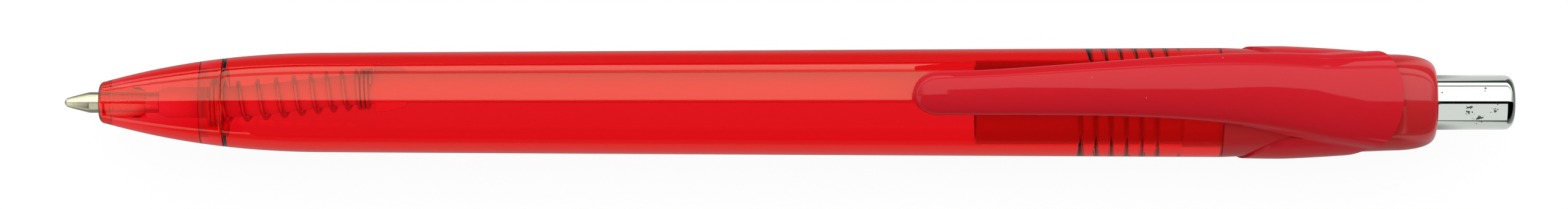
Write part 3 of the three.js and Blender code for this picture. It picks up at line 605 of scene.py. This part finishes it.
def solid_plastic(name, tint, ior):
    """Solid ABS, moulded and polished: its gloss is a little uneven, and dust lies on it."""
    material, tree, place = new_material(name)
    wear = add_node(tree, "TexNoise", {"Vector": place, "Scale": 900, "Detail": 6})
    rough = add_node(tree, "MapRange", (wear, 0.4, 0.75, 0.06, 0.14))
    # Specks of dust, a tenth of a millimetre across, in about half of the 2.5 mm cells
    cells = add_node(tree, "TexVoronoi", {"Vector": place, "Scale": 400}).outputs
    chance = add_node(tree, "SeparateColor", (cells["Color"],))
    close = add_node(tree, "MapRange", (cells["Distance"], 0.015, 0.03, 1, 0), **SMOOTH)
    chosen = add_node(tree, "MapRange", (chance, 0.5, 0.52, 0, 1), **SMOOTH)
    speck = add_node(tree, "Math", (close, chosen), operation="MULTIPLY")
    cover = add_node(tree, "Math", (speck, 0.6), operation="MULTIPLY")
    mixed = {0: cover, 6: (*tint, 1), 7: (*bpy.context.scene.pen_colours.dust, 1)}
    dusted = add_node(tree, "Mix", mixed, data_type="RGBA").outputs[2]
    shader = add_node(tree, "BsdfPrincipled", {"Base Color": dusted, "Roughness": rough, "IOR": ior})
    add_node(tree, "OutputMaterial", {"Surface": shader})
    return material


def metal(name, tint, roughness, spacing):
    """A bare metal with fine turning or drawing marks some hundredths of a millimetre apart."""
    material, tree, place = new_material(name)
    marks = add_node(tree, "TexNoise", {"Vector": place, "Scale": 1 / spacing, "Detail": 3})
    rough = add_node(tree, "MapRange", (marks, 0, 1, roughness * 0.7, roughness * 1.3))
    sockets = {"Base Color": (*tint, 1), "Metallic": 1, "Roughness": rough}
    add_node(tree, "OutputMaterial", {"Surface": add_node(tree, "BsdfPrincipled", sockets)})
    return material


def matt_plastic(name, tint, roughness):
    """A plain unpolished plastic or paste with slight unevenness."""
    material, tree, place = new_material(name)
    uneven = add_node(tree, "TexNoise", {"Vector": place, "Scale": 1200, "Detail": 4})
    bump = add_node(tree, "Bump", {"Height": uneven, "Strength": 0.2, "Distance": 0.02 * MM})
    sockets = {"Base Color": (*tint, 1), "Roughness": roughness, "Normal": bump}
    add_node(tree, "OutputMaterial", {"Surface": add_node(tree, "BsdfPrincipled", sockets)})
    return material


def worn_chrome():
    """Bright decorative plating on plastic, chipped by use."""
    material, tree, place = new_material("worn_chrome_plating")
    colours = bpy.context.scene.pen_colours
    radius = bpy.context.scene.pen_button.radius
    # Chips some 0.2 mm across gather round a few places: (station, across the pen, spread)
    worn = [
        (134.9, 1.3, 0.5),
        (137.0, 0.95, 0.7),
        (132.8, 0.45, 0.3),
        (135.5, -1.1, 0.8),
        (136.5, -1.85, 0.9),
        (137.8, -1.1, 0.7),
        (139.8, 0.0, 0.4),
    ]
    # How far the nearest of them is, in its own spreads, starting from beyond them all
    far = 100.0
    for station, across, extent in worn:
        centre = on_pen(station * MM, across * MM, math.sqrt(radius**2 - (across * MM) ** 2))
        apart = add_node(tree, "VectorMath", (place, centre), operation="DISTANCE").outputs["Value"]
        share = add_node(tree, "Math", (apart, extent * MM), operation="DIVIDE")
        far = add_node(tree, "Math", (far, share), operation="MINIMUM")
    grain = add_node(tree, "TexNoise", {"Vector": place, "Scale": 3000, "Detail": 6})
    needed = add_node(tree, "MapRange", (far, 0, 1.2, 0.5, 0.72), **SMOOTH)
    over = add_node(tree, "Math", (grain, needed), operation="SUBTRACT")
    chipped = add_node(tree, "MapRange", (over, 0, 0.02, 0, 1))
    mixed = {0: chipped, 6: (*colours.plating, 1), 7: (*colours.chipped, 1)}
    sockets = {
        "Base Color": add_node(tree, "Mix", mixed, data_type="RGBA").outputs[2],
        "Metallic": add_node(tree, "Math", (1.0, chipped), operation="SUBTRACT"),
        "Roughness": add_node(tree, "MapRange", (chipped, 0, 1, 0.05, 0.5)),
    }
    add_node(tree, "OutputMaterial", {"Surface": add_node(tree, "BsdfPrincipled", sockets)})
    return material


def finish_piece(piece, body, slot, material, *nodes):
    """Shades a piece, gives it its material, and lets it stand for its CAD nodes on their body."""
    select(piece)
    bpy.ops.object.shade_smooth_by_angle(angle=math.radians(35))
    # Long faces keep their own normals beside the small ones of a rounded edge
    modifier = piece.modifiers.new("Normals", "WEIGHTED_NORMAL")
    modifier.keep_sharp = True
    bpy.ops.object.modifier_apply(modifier=modifier.name)
    piece.data.materials.clear()
    piece.data.materials.append(material)
    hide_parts(*nodes)
    if body:
        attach(piece, body)


def lay_floor():
    """A wide white floor that keeps a soft shadow; away from the pen it is darker in reflections."""
    deselect()
    bpy.ops.mesh.primitive_grid_add(x_subdivisions=8, y_subdivisions=8, size=12, location=(0, 0, 0))
    floor = bpy.context.object
    floor.name = "floor"
    material, tree, place = new_material("white_floor")
    ray = add_node(tree, "LightPath").outputs
    axes = add_node(tree, "SeparateXYZ", (place,)).outputs
    # Mirrored, only a strip of the floor is bright, its middle a little to the pen's near side
    strip_setback = 4 * MM
    aside = add_node(tree, "Math", (axes["Y"], strip_setback), operation="ADD")
    aside = add_node(tree, "Math", (aside,), operation="ABSOLUTE")
    mirrored = add_node(tree, "MapRange", (aside, 0.012, 0.025, 0.3, 0.04), **SMOOTH)
    # Past the ends of the barrel the bright metal mirrors a white floor
    past_tip = add_node(tree, "MapRange", (axes["X"], -0.074, -0.080, 0, 1), **SMOOTH)
    past_cap = add_node(tree, "MapRange", (axes["X"], 0.062, 0.067, 0, 1), **SMOOTH)
    near_cap = add_node(tree, "MapRange", (axes["X"], 0.073, 0.078, 1, 0), **SMOOTH)
    past_cap = add_node(tree, "Math", (past_cap, near_cap), operation="MULTIPLY")
    past_ends = add_node(tree, "Math", (past_tip, past_cap), operation="ADD")
    mirrored = add_node(tree, "Mix", {0: past_ends, 2: mirrored, 3: 1.1})
    mirror = (ray["Is Glossy Ray"], ray["Is Reflection Ray"])
    in_mirror = add_node(tree, "Math", mirror, operation="MULTIPLY")
    direct = add_node(tree, "Mix", {0: ray["Is Camera Ray"], 2: 1.0, 3: 1.1})
    level = add_node(tree, "Mix", {0: in_mirror, 2: direct, 3: mirrored})
    # What is seen of it is mostly its own white: the rest is paper, which takes the shadow
    seen = ray["Is Camera Ray"]
    for kind in ("Glossy", "Transmission"):
        seen = add_node(tree, "Math", (seen, ray[f"Is {kind} Ray"]), operation="MAXIMUM")
    white_share = add_node(tree, "Math", (seen, 0.85), operation="MULTIPLY")
    paper = add_node(tree, "BsdfDiffuse", {"Color": (*linear("#b3b3b3"), 1)})
    white = add_node(tree, "Emission", {"Color": WHITE, "Strength": level})
    mixed = add_node(tree, "MixShader", (white_share, paper, white))
    add_node(tree, "OutputMaterial", {"Surface": mixed})
    floor.data.materials.append(material)


def hang_flags():
    """Dark panels that only mirror reflections show, where a photographer would hang flags."""
    material, tree, _ = new_material("black_velvet")
    ray = add_node(tree, "LightPath").outputs
    mirror = (ray["Is Glossy Ray"], ray["Is Reflection Ray"])
    in_mirror = add_node(tree, "Math", mirror, operation="MULTIPLY")
    clear = add_node(tree, "BsdfTransparent", {"Color": WHITE})
    dark = add_node(tree, "Emission", {"Color": WHITE, "Strength": 0.04})
    mixed = add_node(tree, "MixShader", (in_mirror, clear, dark))
    add_node(tree, "OutputMaterial", {"Surface": mixed})
    # Corners in millimetres: (station, across the pen, above its axis)
    low = 1 - AXIS_Z / MM
    slanted = [(10, -6, 40), (134.5, -6, 40), (134.5, -45, low), (10, -45, low)]
    # The far edge of the level panel follows the crest of the clip
    edge = [(135, -2.5), (127, 2.9), (121, 2.6), (112, -0.8), (104, -0.4), (91, 3.1), (82, 3.1)]
    level = [(station, across, 20) for station, across in [(82, -6), (135, -6), *edge]]
    upright = [(82.5, 25, 9), (90, 25, 1), (131, 25, 1), (131, 25, 15), (82.5, 25, 15)]
    flags = {"flag": slanted, "clip_flag": level, "strip_flag": upright}
    for name, corners in flags.items():
        flag = draw(name, [on_pen(*[side * MM for side in corner]) for corner in corners], True)
        bpy.ops.mesh.edge_face_add()
        bpy.ops.object.mode_set(mode="OBJECT")
        flag.data.materials.append(material)


def light_studio():
    """A large soft box and a low strip on the far side of the pen, a white card on the near side."""
    world = bpy.data.worlds.new("studio")
    bpy.context.scene.world = world
    world.use_nodes = True
    tree = world.node_tree
    tree.nodes.clear()
    direction = add_node(tree, "TexCoord").outputs["Generated"]
    axes = add_node(tree, "SeparateXYZ", (direction,)).outputs
    # Degrees round the pen: straight up is 0, and level on the far side is 90
    turn = add_node(tree, "Math", (axes["Y"], axes["Z"]), operation="ARCTAN2")
    turn = add_node(tree, "Math", (turn,), operation="DEGREES")
    aside = add_node(tree, "Math", (axes["X"],), operation="ABSOLUTE")
    # The soft box reaches from straight up to 60 degrees on the far side, and is weak below that
    mirrored = add_node(tree, "MapRange", (turn, -5, -1, 0, 2.1), **SMOOTH)
    for limits in [(turn, 60, 62, 1, 0.3), (aside, 0.75, 0.95, 1, 0.3)]:
        step = add_node(tree, "MapRange", limits, **SMOOTH)
        mirrored = add_node(tree, "Math", (mirrored, step), operation="MULTIPLY")
    strip = add_node(tree, "MapRange", (turn, 68, 70, 0, 1.5), **SMOOTH)
    mirrored = add_node(tree, "Math", (mirrored, strip), operation="ADD")
    above_floor = add_node(tree, "MapRange", (turn, 81, 86, 1, 0), **SMOOTH)
    mirrored = add_node(tree, "Math", (mirrored, above_floor), operation="MULTIPLY")
    # The card stands beside the pen's middle and again past its tip
    card = add_node(tree, "MapRange", (turn, -16, -13, 1.2, 0), **SMOOTH)
    middle = add_node(tree, "MapRange", (aside, 0.18, 0.25, 1, 0), **SMOOTH)
    front = add_node(tree, "MapRange", (axes["X"], -0.5, -0.56, 0, 1), **SMOOTH)
    stretches = add_node(tree, "Math", (middle, front), operation="ADD")
    card = add_node(tree, "Math", (card, stretches), operation="MULTIPLY")
    mirrored = add_node(tree, "Math", (mirrored, card), operation="ADD")
    # What lights the inside of the clear barrel is more even than what its surface mirrors
    through = add_node(tree, "MapRange", (turn, -40, 40, 1.9, 1.65), **SMOOTH)
    for limits in [(turn, 45, 80, 1, 0.35), (turn, -65, -90, 1, 0.6)]:
        step = add_node(tree, "MapRange", limits, **SMOOTH)
        through = add_node(tree, "Math", (through, step), operation="MULTIPLY")
    around = add_node(tree, "MapRange", (turn, -40, 40, 0.55, 1.35), **SMOOTH)
    ray = add_node(tree, "LightPath").outputs
    level = add_node(tree, "Mix", {0: ray["Is Transmission Ray"], 2: mirrored, 3: through})
    level = add_node(tree, "Mix", {0: ray["Is Diffuse Ray"], 2: level, 3: around})
    level = add_node(tree, "Mix", {0: ray["Is Camera Ray"], 2: level, 3: 1.0})
    background = add_node(tree, "Background", {"Color": WHITE, "Strength": level})
    add_node(tree, "OutputWorld", {"Surface": background})


def place_camera():
    """A camera high above the pen, a little to the near side, with the pen across the frame."""
    elevation = math.radians(81.5)
    distance = 0.48
    # The picture's middle lies a little to the tip's side of the pen's middle, and to the near side
    target = Vector((-0.47 * MM, -0.2 * MM, AXIS_Z))
    lens = bpy.data.cameras.new("camera")
    lens.lens = 114
    lens.sensor_width = 36
    lens.sensor_fit = "HORIZONTAL"
    lens.clip_start = 0.01
    lens.clip_end = 50
    camera = bpy.data.objects.new("camera", lens)
    bpy.context.scene.collection.objects.link(camera)
    camera.location = target + distance * Vector((0, -math.cos(elevation), math.sin(elevation)))
    camera.rotation_euler = (math.pi / 2 - elevation, 0, 0)
    bpy.context.scene.camera = camera


class PEN_OT_nose(bpy.types.Operator):
    """Models the see-through nose with its guide for the writing point"""

    bl_idname = "pen.nose"
    bl_label = "Nose"

    def execute(self, context):
        sizes = context.scene.pen_housing
        guide_wall = 0.42 * MM
        guide_end = NOSE_FRONT + sizes.guide_length
        guide_foot = guide_end - 3.3 * MM
        cavity_end = SPIGOT_FRONT - SEAM
        socket = body_radius(SPIGOT_FRONT) - 0.53 * MM
        radius = sizes.nose_rounding
        middle = NOSE_FRONT + radius
        face = sizes.nose_radius - radius
        profile = [(NOSE_FRONT, sizes.guide_bore)]
        profile += [(middle - radius * math.cos(a), face + radius * math.sin(a)) for a in quarter(8)]
        profile += [(s, body_radius(s)) for s in spread(middle, NOSE_REAR, 36)[1:]]
        profile += [(NOSE_REAR, socket), (cavity_end, socket)]
        for share in spread(0, 1, 20):
            station = cavity_end + (guide_foot - cavity_end) * share
            wall = sizes.nose_wall + (sizes.nose_front_wall - sizes.nose_wall) * share
            profile.append((station, body_radius(station) - wall))
        guide = sizes.guide_bore + guide_wall
        profile += [(guide_foot, guide), (guide_end, guide), (guide_end, sizes.guide_bore)]
        piece = round_edges(lathe("clear_nose", profile, SHELL_SIDES), 0.06 * MM)
        material = clear_polystyrene("clear_red_nose")
        finish_piece(piece, "housing", "clear_red_plastic", material, "nose_cone")
        return {"FINISHED"}


class PEN_OT_barrel(bpy.types.Operator):
    """Models the see-through barrel with its spigot and threaded bore"""

    bl_idname = "pen.barrel"
    bl_label = "Barrel"

    def execute(self, context):
        sizes = context.scene.pen_housing
        refill = context.scene.pen_refill
        grip = NOSE_FRONT + sizes.grip_setback
        before_thread = THREAD_FRONT - 1.5 * MM
        thread_crest = tail_radius() + sizes.thread_depth
        thread_bore = thread_crest + 0.1 * MM
        spigot = body_radius(SPIGOT_FRONT) - 0.6 * MM
        spigot_bore = refill.spring_front_radius + refill.wire_radius + 0.2 * MM
        flange_bore = refill.tube_radius + 0.25 * MM
        seat = SPIGOT_FRONT + 0.6 * MM
        outside = spread(BARREL_FRONT, grip, 24) + spread(grip, BARREL_REAR, 24)[1:]
        bore = spread(THREAD_REAR, before_thread, 40) + spread(before_thread, grip, 20)[1:]
        bore += spread(grip, BARREL_FRONT + 0.2 * MM, 16)[1:]
        profile = [(station, body_radius(station)) for station in outside]
        profile += [(BARREL_REAR, thread_bore), (THREAD_REAR + sizes.thread_depth, thread_bore)]
        profile += [(station, body_radius(station) - sizes.barrel_wall) for station in bore]
        profile += [(BARREL_FRONT, spigot_bore), (seat, spigot_bore), (seat, flange_bore)]
        profile += [(SPIGOT_FRONT, flange_bore), (SPIGOT_FRONT, spigot), (BARREL_FRONT, spigot)]
        piece = round_edges(lathe("clear_barrel", profile, SHELL_SIDES), 0.05 * MM)
        # The groove that the cap's thread turns in
        groove = screw_thread(tail_radius(), thread_crest + 0.05 * MM, 0.65 * MM)
        combine(piece, groove, "DIFFERENCE")
        material = clear_polystyrene("clear_red_barrel")
        finish_piece(piece, "housing", "clear_red_plastic", material, "barrel")
        return {"FINISHED"}


class PEN_OT_cap(bpy.types.Operator):
    """Models the solid cap: tail with screw thread, ring seat, cam ribs and button hole"""

    bl_idname = "pen.cap"
    bl_label = "Cap"

    def execute(self, context):
        sizes = context.scene.pen_housing
        tail = tail_radius()
        bore = tail - sizes.tail_wall
        crest = tail + sizes.thread_depth
        hole = context.scene.pen_button.radius + 0.1 * MM
        slot_end = BUTTON_FRONT - 1.9 * MM
        shoulder = CAP_END - sizes.cap_rounding
        face = 2.95 * MM
        fullness = sizes.rear_radius - sizes.cap_taper - face
        profile = [(TAIL_FRONT, bore), (TAIL_FRONT, tail), (THREAD_REAR, tail)]
        profile += [(THREAD_REAR + sizes.thread_depth, crest), (CAP_FRONT, crest)]
        profile += [(CAP_FRONT, sizes.rear_radius)]
        profile += [(s, cap_radius(s)) for s in spread(CAP_FRONT, shoulder, 8)[1:-1]]
        for a in quarter(16):
            station = CAP_END - sizes.cap_rounding * (1 - math.sin(a))
            profile.append((station, face + fullness * abs(math.cos(a)) ** 0.7))
        profile += [(CAP_END, hole), (slot_end, hole), (slot_end, bore)]
        piece = round_edges(lathe("solid_cap", profile, SHELL_SIDES), 0.06 * MM)
        # The seat that the clip's ring sits in, cut from a sleeve trimmed to the ring's slanted edges
        outer = 2 * sizes.rear_radius
        sleeve = [(s, seat_radius(s)) for s in (BARREL_FRONT, CAP_END)]
        sleeve += [(CAP_END, outer), (BARREL_FRONT, outer)]
        seat = lathe("seat_cutter", sleeve, SHELL_SIDES)
        play = 0.12 * MM
        outline = ring_front_edge(play)
        outline += [(outline[-1][0], outer), (rear_edge(outer) + play, outer)]
        outline += [(rear_edge(-outer) + play, -outer), (outline[0][0], -outer)]
        combine(seat, side_prism("seat_outline", outline, outer), "INTERSECT")
        combine(piece, seat, "DIFFERENCE")
        sunk = 0.1 * MM
        combine(piece, screw_thread(tail - sunk, crest, 0.45 * MM), "UNION")
        combine(piece, cam_ribs(bore, slot_end), "UNION")
        material = solid_plastic("solid_red_cap_abs", context.scene.pen_colours.cap_red, 1.4)
        finish_piece(piece, "housing", "solid_red_cap", material, "cap")
        return {"FINISHED"}


class PEN_OT_clip(bpy.types.Operator):
    """Models the clip: a domed arm that flows into a slanted ring, with a nub under its tip"""

    bl_idname = "pen.clip"
    bl_label = "Clip"

    def execute(self, context):
        rear_radius = context.scene.pen_housing.rear_radius
        outer = 2 * rear_radius
        piece = self.outside()
        # Trimmed, as seen from the side, to the arm's underside and the ring's slanted edges
        before_tip = CLIP_TIP - MM
        rim = context.scene.pen_clip.rim
        under = [(s, arm(s)[2] - rim) for s in spread(before_tip, CLIP_ROOT - 0.4 * MM, 30)]
        edge = [point for point in ring_front_edge(0) if point[1] < under[-1][1] - 0.1 * MM]
        outline = under + edge[::-1]
        outline += [(rear_edge(edge[0][1]), edge[0][1]), (rear_edge(outer), outer), (before_tip, outer)]
        combine(piece, side_prism("clip_outline", outline, outer), "INTERSECT")
        combine(piece, self.space_under_arm(), "DIFFERENCE")
        combine(piece, self.channel(), "DIFFERENCE")
        combine(piece, self.nub(), "UNION")
        clearance = 0.1 * MM
        front = CAP_FRONT - 5.4 * MM
        bore = [(front, 0), *[(s, seat_radius(s) + clearance) for s in (front, CAP_END)], (CAP_END, 0)]
        combine(piece, lathe("ring_bore", bore, SHELL_SIDES), "DIFFERENCE")
        material = solid_plastic("solid_red_clip_abs", context.scene.pen_colours.clip_red, 1.3)
        finish_piece(piece, "housing", "solid_red_clip", material, "clip")
        return {"FINISHED"}

    def outside(self):
        """Arm and ring as one closed skin, with its points drawn together towards the crest."""
        rounding = bpy.context.scene.pen_clip.tip_rounding
        gathering = 1.7
        angles = [math.pi * math.copysign(abs(t) ** gathering, t) for t in spread(-1, 1, 224)[:-1]]
        stations = [CLIP_TIP + rounding * (1 - math.cos(a)) for a in spread(0.06, math.pi / 2, 14)]
        stations += spread(stations[-1], RING_REAR + 0.4 * MM, 130)[1:]
        return skin("ring_clip", [[clip_point(s, angle) for angle in angles] for s in stations])

    def space_under_arm(self):
        """The space between arm and barrel, which ends where the ring starts."""
        sizes = bpy.context.scene.pen_clip
        rear_radius = bpy.context.scene.pen_housing.rear_radius
        outer = 2 * rear_radius
        front = CLIP_TIP - sizes.nub_setback
        profile = [(front, 0), (front, body_radius(CLIP_TIP) + sizes.gap)]
        profile += [(CAP_FRONT, rear_radius + sizes.gap)]
        profile += [(CLIP_ROOT, cap_radius(CLIP_ROOT) + sizes.gap), (CLIP_ROOT, 0)]
        space = lathe("space_under_arm", profile, SHELL_SIDES)
        edge = ring_front_edge(0)
        before_ring = [*edge, (CLIP_ROOT, outer), (front, outer), (front, edge[0][1])]
        return combine(space, side_prism("before_ring", before_ring, outer), "INTERSECT")

    def channel(self):
        """The hollow along the arm's underside, a little narrower at its roof."""
        sizes = bpy.context.scene.pen_clip
        front = CLIP_TIP + sizes.nub_setback + 2 * sizes.nub_radius
        rings = []
        for station in spread(front, CAP_FRONT + 2 * MM, 12):
            roof = arm(station)[2] - sizes.rim + sizes.channel_depth
            corners = [(-1, 0), (1, 0), (0.8, roof), (-0.8, roof)]
            rings.append([on_pen(station, sizes.channel_width / 2 * y, z) for y, z in corners])
        return skin("channel", rings)

    def nub(self):
        """The gripping nub, which widens from its foot above the barrel up to the arm."""
        sizes = bpy.context.scene.pen_clip
        station = CLIP_TIP + sizes.nub_setback
        foot = body_radius(station) + 0.1 * MM
        foot_share = 0.41
        rings = []
        for share in spread(0, 1, 10):
            widening = (1 - foot_share) * math.sin(share * math.pi / 2)
            radius = sizes.nub_radius * (foot_share + widening)
            height = foot + (arm(station)[2] - foot) * share
            circle = [(radius * math.cos(a), radius * math.sin(a)) for a in spread(0, TURN, 40)[1:]]
            rings.append([on_pen(station + along, across, height) for along, across in circle])
        return skin("nub", rings)


class PEN_OT_button(bpy.types.Operator):
    """Models the plated push button"""

    bl_idname = "pen.button"
    bl_label = "Push Button"

    def execute(self, context):
        sizes = context.scene.pen_button
        bore = sizes.radius - sizes.wall
        inner_end = PEN_END - sizes.end_wall
        profile = [(inner_end, 0), (inner_end, bore), (BUTTON_FRONT, bore), (BUTTON_FRONT, sizes.radius)]
        for a in quarter(10):
            station = PEN_END - sizes.corner * (1 - math.sin(a))
            profile.append((station, sizes.radius - sizes.corner * (1 - math.cos(a))))
        profile += [(PEN_END, 0)]
        piece = lathe("chrome_button", profile, SHELL_SIDES)
        finish_piece(piece, "button", "plated_button", worn_chrome(), "push_button")
        return {"FINISHED"}


class PEN_OT_refill(bpy.types.Operator):
    """Models the refill: its tube with two ears, the writing point and ball, ink and grease"""

    bl_idname = "pen.refill"
    bl_label = "Refill"

    def execute(self, context):
        colours = context.scene.pen_colours
        tube = self.tube()
        for turn in (0.25, 0.75):
            combine(tube, self.ear(turn), "UNION")
        bow(tube)
        material = matt_plastic("natural_polypropylene", colours.milky, 0.35)
        finish_piece(tube, "refill", "milky_tube", material, "refill_tube")
        material = metal("turned_nickel_silver", colours.nickel_silver, 0.28, 0.06 * MM)
        finish_piece(self.point(), "refill", "nickel_silver", material, "point_housing")
        fillings = {
            "ink_column": ("paste_ink", "ink", colours.ink),
            "ink_follower": ("follower_grease", "grease", colours.grease),
        }
        for node, (name, slot, tint) in fillings.items():
            front, rear = ends(node)
            low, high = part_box(node)
            radius = (high.z - low.z) / 2
            profile = [(front, 0), *[(s, radius) for s in spread(front, rear, 40)], (rear, 0)]
            filling = lathe(name, profile, SMALL_SIDES)
            bow(filling)
            finish_piece(filling, "refill", slot, matt_plastic(name, tint, 0.3), node)
        radius = context.scene.pen_refill.ball_radius
        arc = spread(0, math.pi, 24)[1:-1]
        profile = [(0, 0), *[(radius * (1 - math.cos(a)), radius * math.sin(a)) for a in arc]]
        ball = lathe("carbide_ball", profile + [(2 * radius, 0)], 48)
        material = metal("ground_carbide", colours.carbide, 0.12, 0.03 * MM)
        finish_piece(ball, "ball", "carbide_ball", material, "writing_ball")
        return {"FINISHED"}

    def tube(self):
        """The tube, open at both ends, with its front edge chamfered round the neck."""
        sizes = bpy.context.scene.pen_refill
        chamfer_end = TUBE_FRONT + 0.75 * MM
        profile = [(TUBE_FRONT, sizes.tube_bore), (TUBE_FRONT, sizes.tube_radius - 0.3 * MM)]
        profile += [(s, sizes.tube_radius) for s in spread(chamfer_end, TUBE_REAR, 60)]
        profile += [(s, sizes.tube_bore) for s in spread(TUBE_REAR, TUBE_FRONT, 60)[:-1]]
        return lathe("refill_with_ears", profile, SMALL_SIDES)

    def ear(self, turn):
        """An ear that the spring presses on, sunk in the tube's wall and turned round the axis."""
        sizes = bpy.context.scene.pen_refill
        front = SPRING_REAR + SEAM
        sunk = (sizes.tube_bore + sizes.tube_radius) / 2
        height = sizes.ear_reach - sizes.tube_radius
        outline = [(front, sunk)]
        for a in quarter(12):
            station = front + sizes.ear_length * math.sin(a)
            outline.append((station, sizes.tube_radius + height * math.cos(a)))
        outline += [(front + sizes.ear_length, sunk)]
        ear = round_edges(side_prism("ear", outline, sizes.ear_thickness / 2), 0.1 * MM)
        select(ear)
        bpy.ops.object.mode_set(mode="EDIT")
        bpy.ops.mesh.select_all(action="SELECT")
        middle = on_pen(0, 0, 0)
        bpy.ops.transform.rotate(value=turn * TURN, orient_axis="X", center_override=middle)
        bpy.ops.object.mode_set(mode="OBJECT")
        return ear

    def point(self):
        """The writing point: ball seat, lip, cone, neck, shank and the bore that feeds the ball."""
        sizes = bpy.context.scene.pen_refill
        seat = sizes.ball_radius + 0.025 * MM
        lip_wall = 0.055 * MM
        feed = 0.2 * MM
        bore = 0.45 * MM
        shank = sizes.tube_bore - 0.05 * MM
        neck_end = TUBE_FRONT - SEAM
        lip = math.acos((POINT_FRONT - sizes.ball_radius) / seat)
        throat = spread(math.asin(feed / seat), lip, 10)
        profile = [(sizes.ball_radius + seat * math.cos(a), seat * math.sin(a)) for a in throat]
        profile += [(POINT_FRONT, seat * math.sin(lip) + lip_wall), (0.85 * MM, 0.6 * MM)]
        profile += [(sizes.cone_length - 0.2 * MM, sizes.neck_radius - 0.03 * MM)]
        profile += [(sizes.cone_length, sizes.neck_radius), (neck_end, sizes.neck_radius)]
        profile += [(neck_end, shank), (SHANK_REAR, shank), (SHANK_REAR, bore)]
        profile += [(2.75 * MM, bore), (2.4 * MM, feed)]
        return round_edges(lathe("writing_point", profile, SMALL_SIDES), 0.03 * MM, 12)


class PEN_OT_spring(bpy.types.Operator):
    """Models the return spring with closed end coils"""

    bl_idname = "pen.spring"
    bl_label = "Return Spring"

    def execute(self, context):
        sizes = context.scene.pen_refill
        coils = 2 * sizes.closed_coils + sizes.open_coils
        steps = 40
        points = []
        for i in range(round(coils * steps) + 1):
            turn = i / steps
            # A mean over a quarter of a turn rounds the bends between closed and open coils
            near = [self.advance(min(max(turn + d, 0), coils)) for d in (-0.12, -0.06, 0, 0.06, 0.12)]
            station = SPRING_FRONT + sizes.wire_radius + sum(near) / len(near)
            past_front = min(max(turn - sizes.closed_coils + 0.3, 0), 1)
            widening = (sizes.spring_front_radius - sizes.spring_radius) * (1 - past_front) ** 2
            radius = sizes.spring_radius + widening
            angle = turn * TURN
            points.append(on_pen(station, -radius * math.sin(angle), radius * math.cos(angle)))
        draw("steel_spring", points, False)
        bpy.ops.object.mode_set(mode="OBJECT")
        bpy.ops.object.convert(target="CURVE")
        wire = bpy.context.object.data
        wire.bevel_depth = sizes.wire_radius
        wire.bevel_resolution = 4
        wire.use_fill_caps = True
        bpy.ops.object.convert(target="MESH")
        piece = bpy.context.object
        bpy.ops.object.mode_set(mode="EDIT")
        close_up()
        bow(piece)
        material = metal("drawn_spring_steel", context.scene.pen_colours.steel, 0.25, 0.04 * MM)
        finish_piece(piece, None, "spring_steel", material, "return_spring")
        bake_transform(piece)
        return {"FINISHED"}

    def advance(self, turn):
        """How far the wire is along the spring after so many turns."""
        sizes = bpy.context.scene.pen_refill
        wire = 2 * sizes.wire_radius
        closed, open_coils = sizes.closed_coils, sizes.open_coils
        # Closed coils all but touch
        closed_length = closed * wire * 1.06
        open_length = SPRING_REAR - SPRING_FRONT - wire - 2 * closed_length
        if turn < closed:
            return turn * closed_length / closed
        if turn > closed + open_coils:
            return 2 * closed_length + open_length - self.advance(2 * closed + open_coils - turn)
        share = (turn - closed) / open_coils
        # The open coils stand a little closer towards the rear
        crowding = 0.045
        return closed_length + open_length * (share + crowding * math.sin(math.pi * share))


class PEN_OT_mechanism(bpy.types.Operator):
    """Gives the hidden plunger and rotor cam their finish"""

    bl_idname = "pen.mechanism"
    bl_label = "Hidden Mechanism"

    def execute(self, context):
        acetal = context.scene.pen_colours.acetal
        finishes = {"plunger": "white_acetal_plunger", "rotor_cam": "white_acetal_cam"}
        for node, name in finishes.items():
            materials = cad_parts[node].data.materials
            materials.clear()
            materials.append(matt_plastic(name, acetal, 0.4))
        return {"FINISHED"}


class PEN_OT_studio(bpy.types.Operator):
    """Sets the white floor, the dark panels, the soft light and the camera above the pen"""

    bl_idname = "pen.studio"
    bl_label = "Studio"

    def execute(self, context):
        lay_floor()
        hang_flags()
        light_studio()
        place_camera()
        return {"FINISHED"}


class PEN_PT_panel(bpy.types.Panel):
    """Lists the pieces of the pen and their sizes"""

    bl_label = "Ball Pen"
    bl_idname = "PEN_PT_panel"
    bl_space_type = "VIEW_3D"
    bl_region_type = "UI"
    bl_category = "Ball Pen"

    def draw(self, context):
        for operator in OPERATORS:
            self.layout.operator(operator.bl_idname)
        for group in GROUPS:
            box = self.layout.box()
            owner = getattr(context.scene, group)
            for name in owner.bl_rna.properties.keys():
                if name not in ("rna_type", "name"):
                    box.prop(owner, name)


OPERATORS = (
    PEN_OT_studio,
    PEN_OT_nose,
    PEN_OT_barrel,
    PEN_OT_cap,
    PEN_OT_clip,
    PEN_OT_button,
    PEN_OT_refill,
    PEN_OT_spring,
    PEN_OT_mechanism,
)
GROUPS = {
    "pen_housing": PenHousingSizes,
    "pen_clip": PenClipSizes,
    "pen_refill": PenRefillSizes,
    "pen_button": PenButtonSizes,
    "pen_colours": PenColours,
}


def register():
    """Adds the groups of sizes and colours, the operators and the panel."""
    for group in (*GROUPS.values(), *OPERATORS, PEN_PT_panel):
        bpy.utils.register_class(group)
    for name, group in GROUPS.items():
        setattr(bpy.types.Scene, name, PointerProperty(type=group))


def unregister():
    """Takes away what register adds."""
    for name in GROUPS:
        delattr(bpy.types.Scene, name)
    for group in (PEN_PT_panel, *OPERATORS[::-1], *GROUPS.values()):
        bpy.utils.unregister_class(group)


def main():
    """Builds the pen and its studio."""
    register()
    scene = bpy.context.scene
    scene.view_settings.view_transform = "Standard"
    # Light is reflected many times inside the clear walls before it leaves them
    scene.cycles.max_bounces = 40
    scene.cycles.glossy_bounces = 24
    scene.cycles.transmission_bounces = 32
    for operator in OPERATORS:
        group, name = operator.bl_idname.split(".")
        getattr(getattr(bpy.ops, group), name)()


if __name__ == "__main__":
    main()
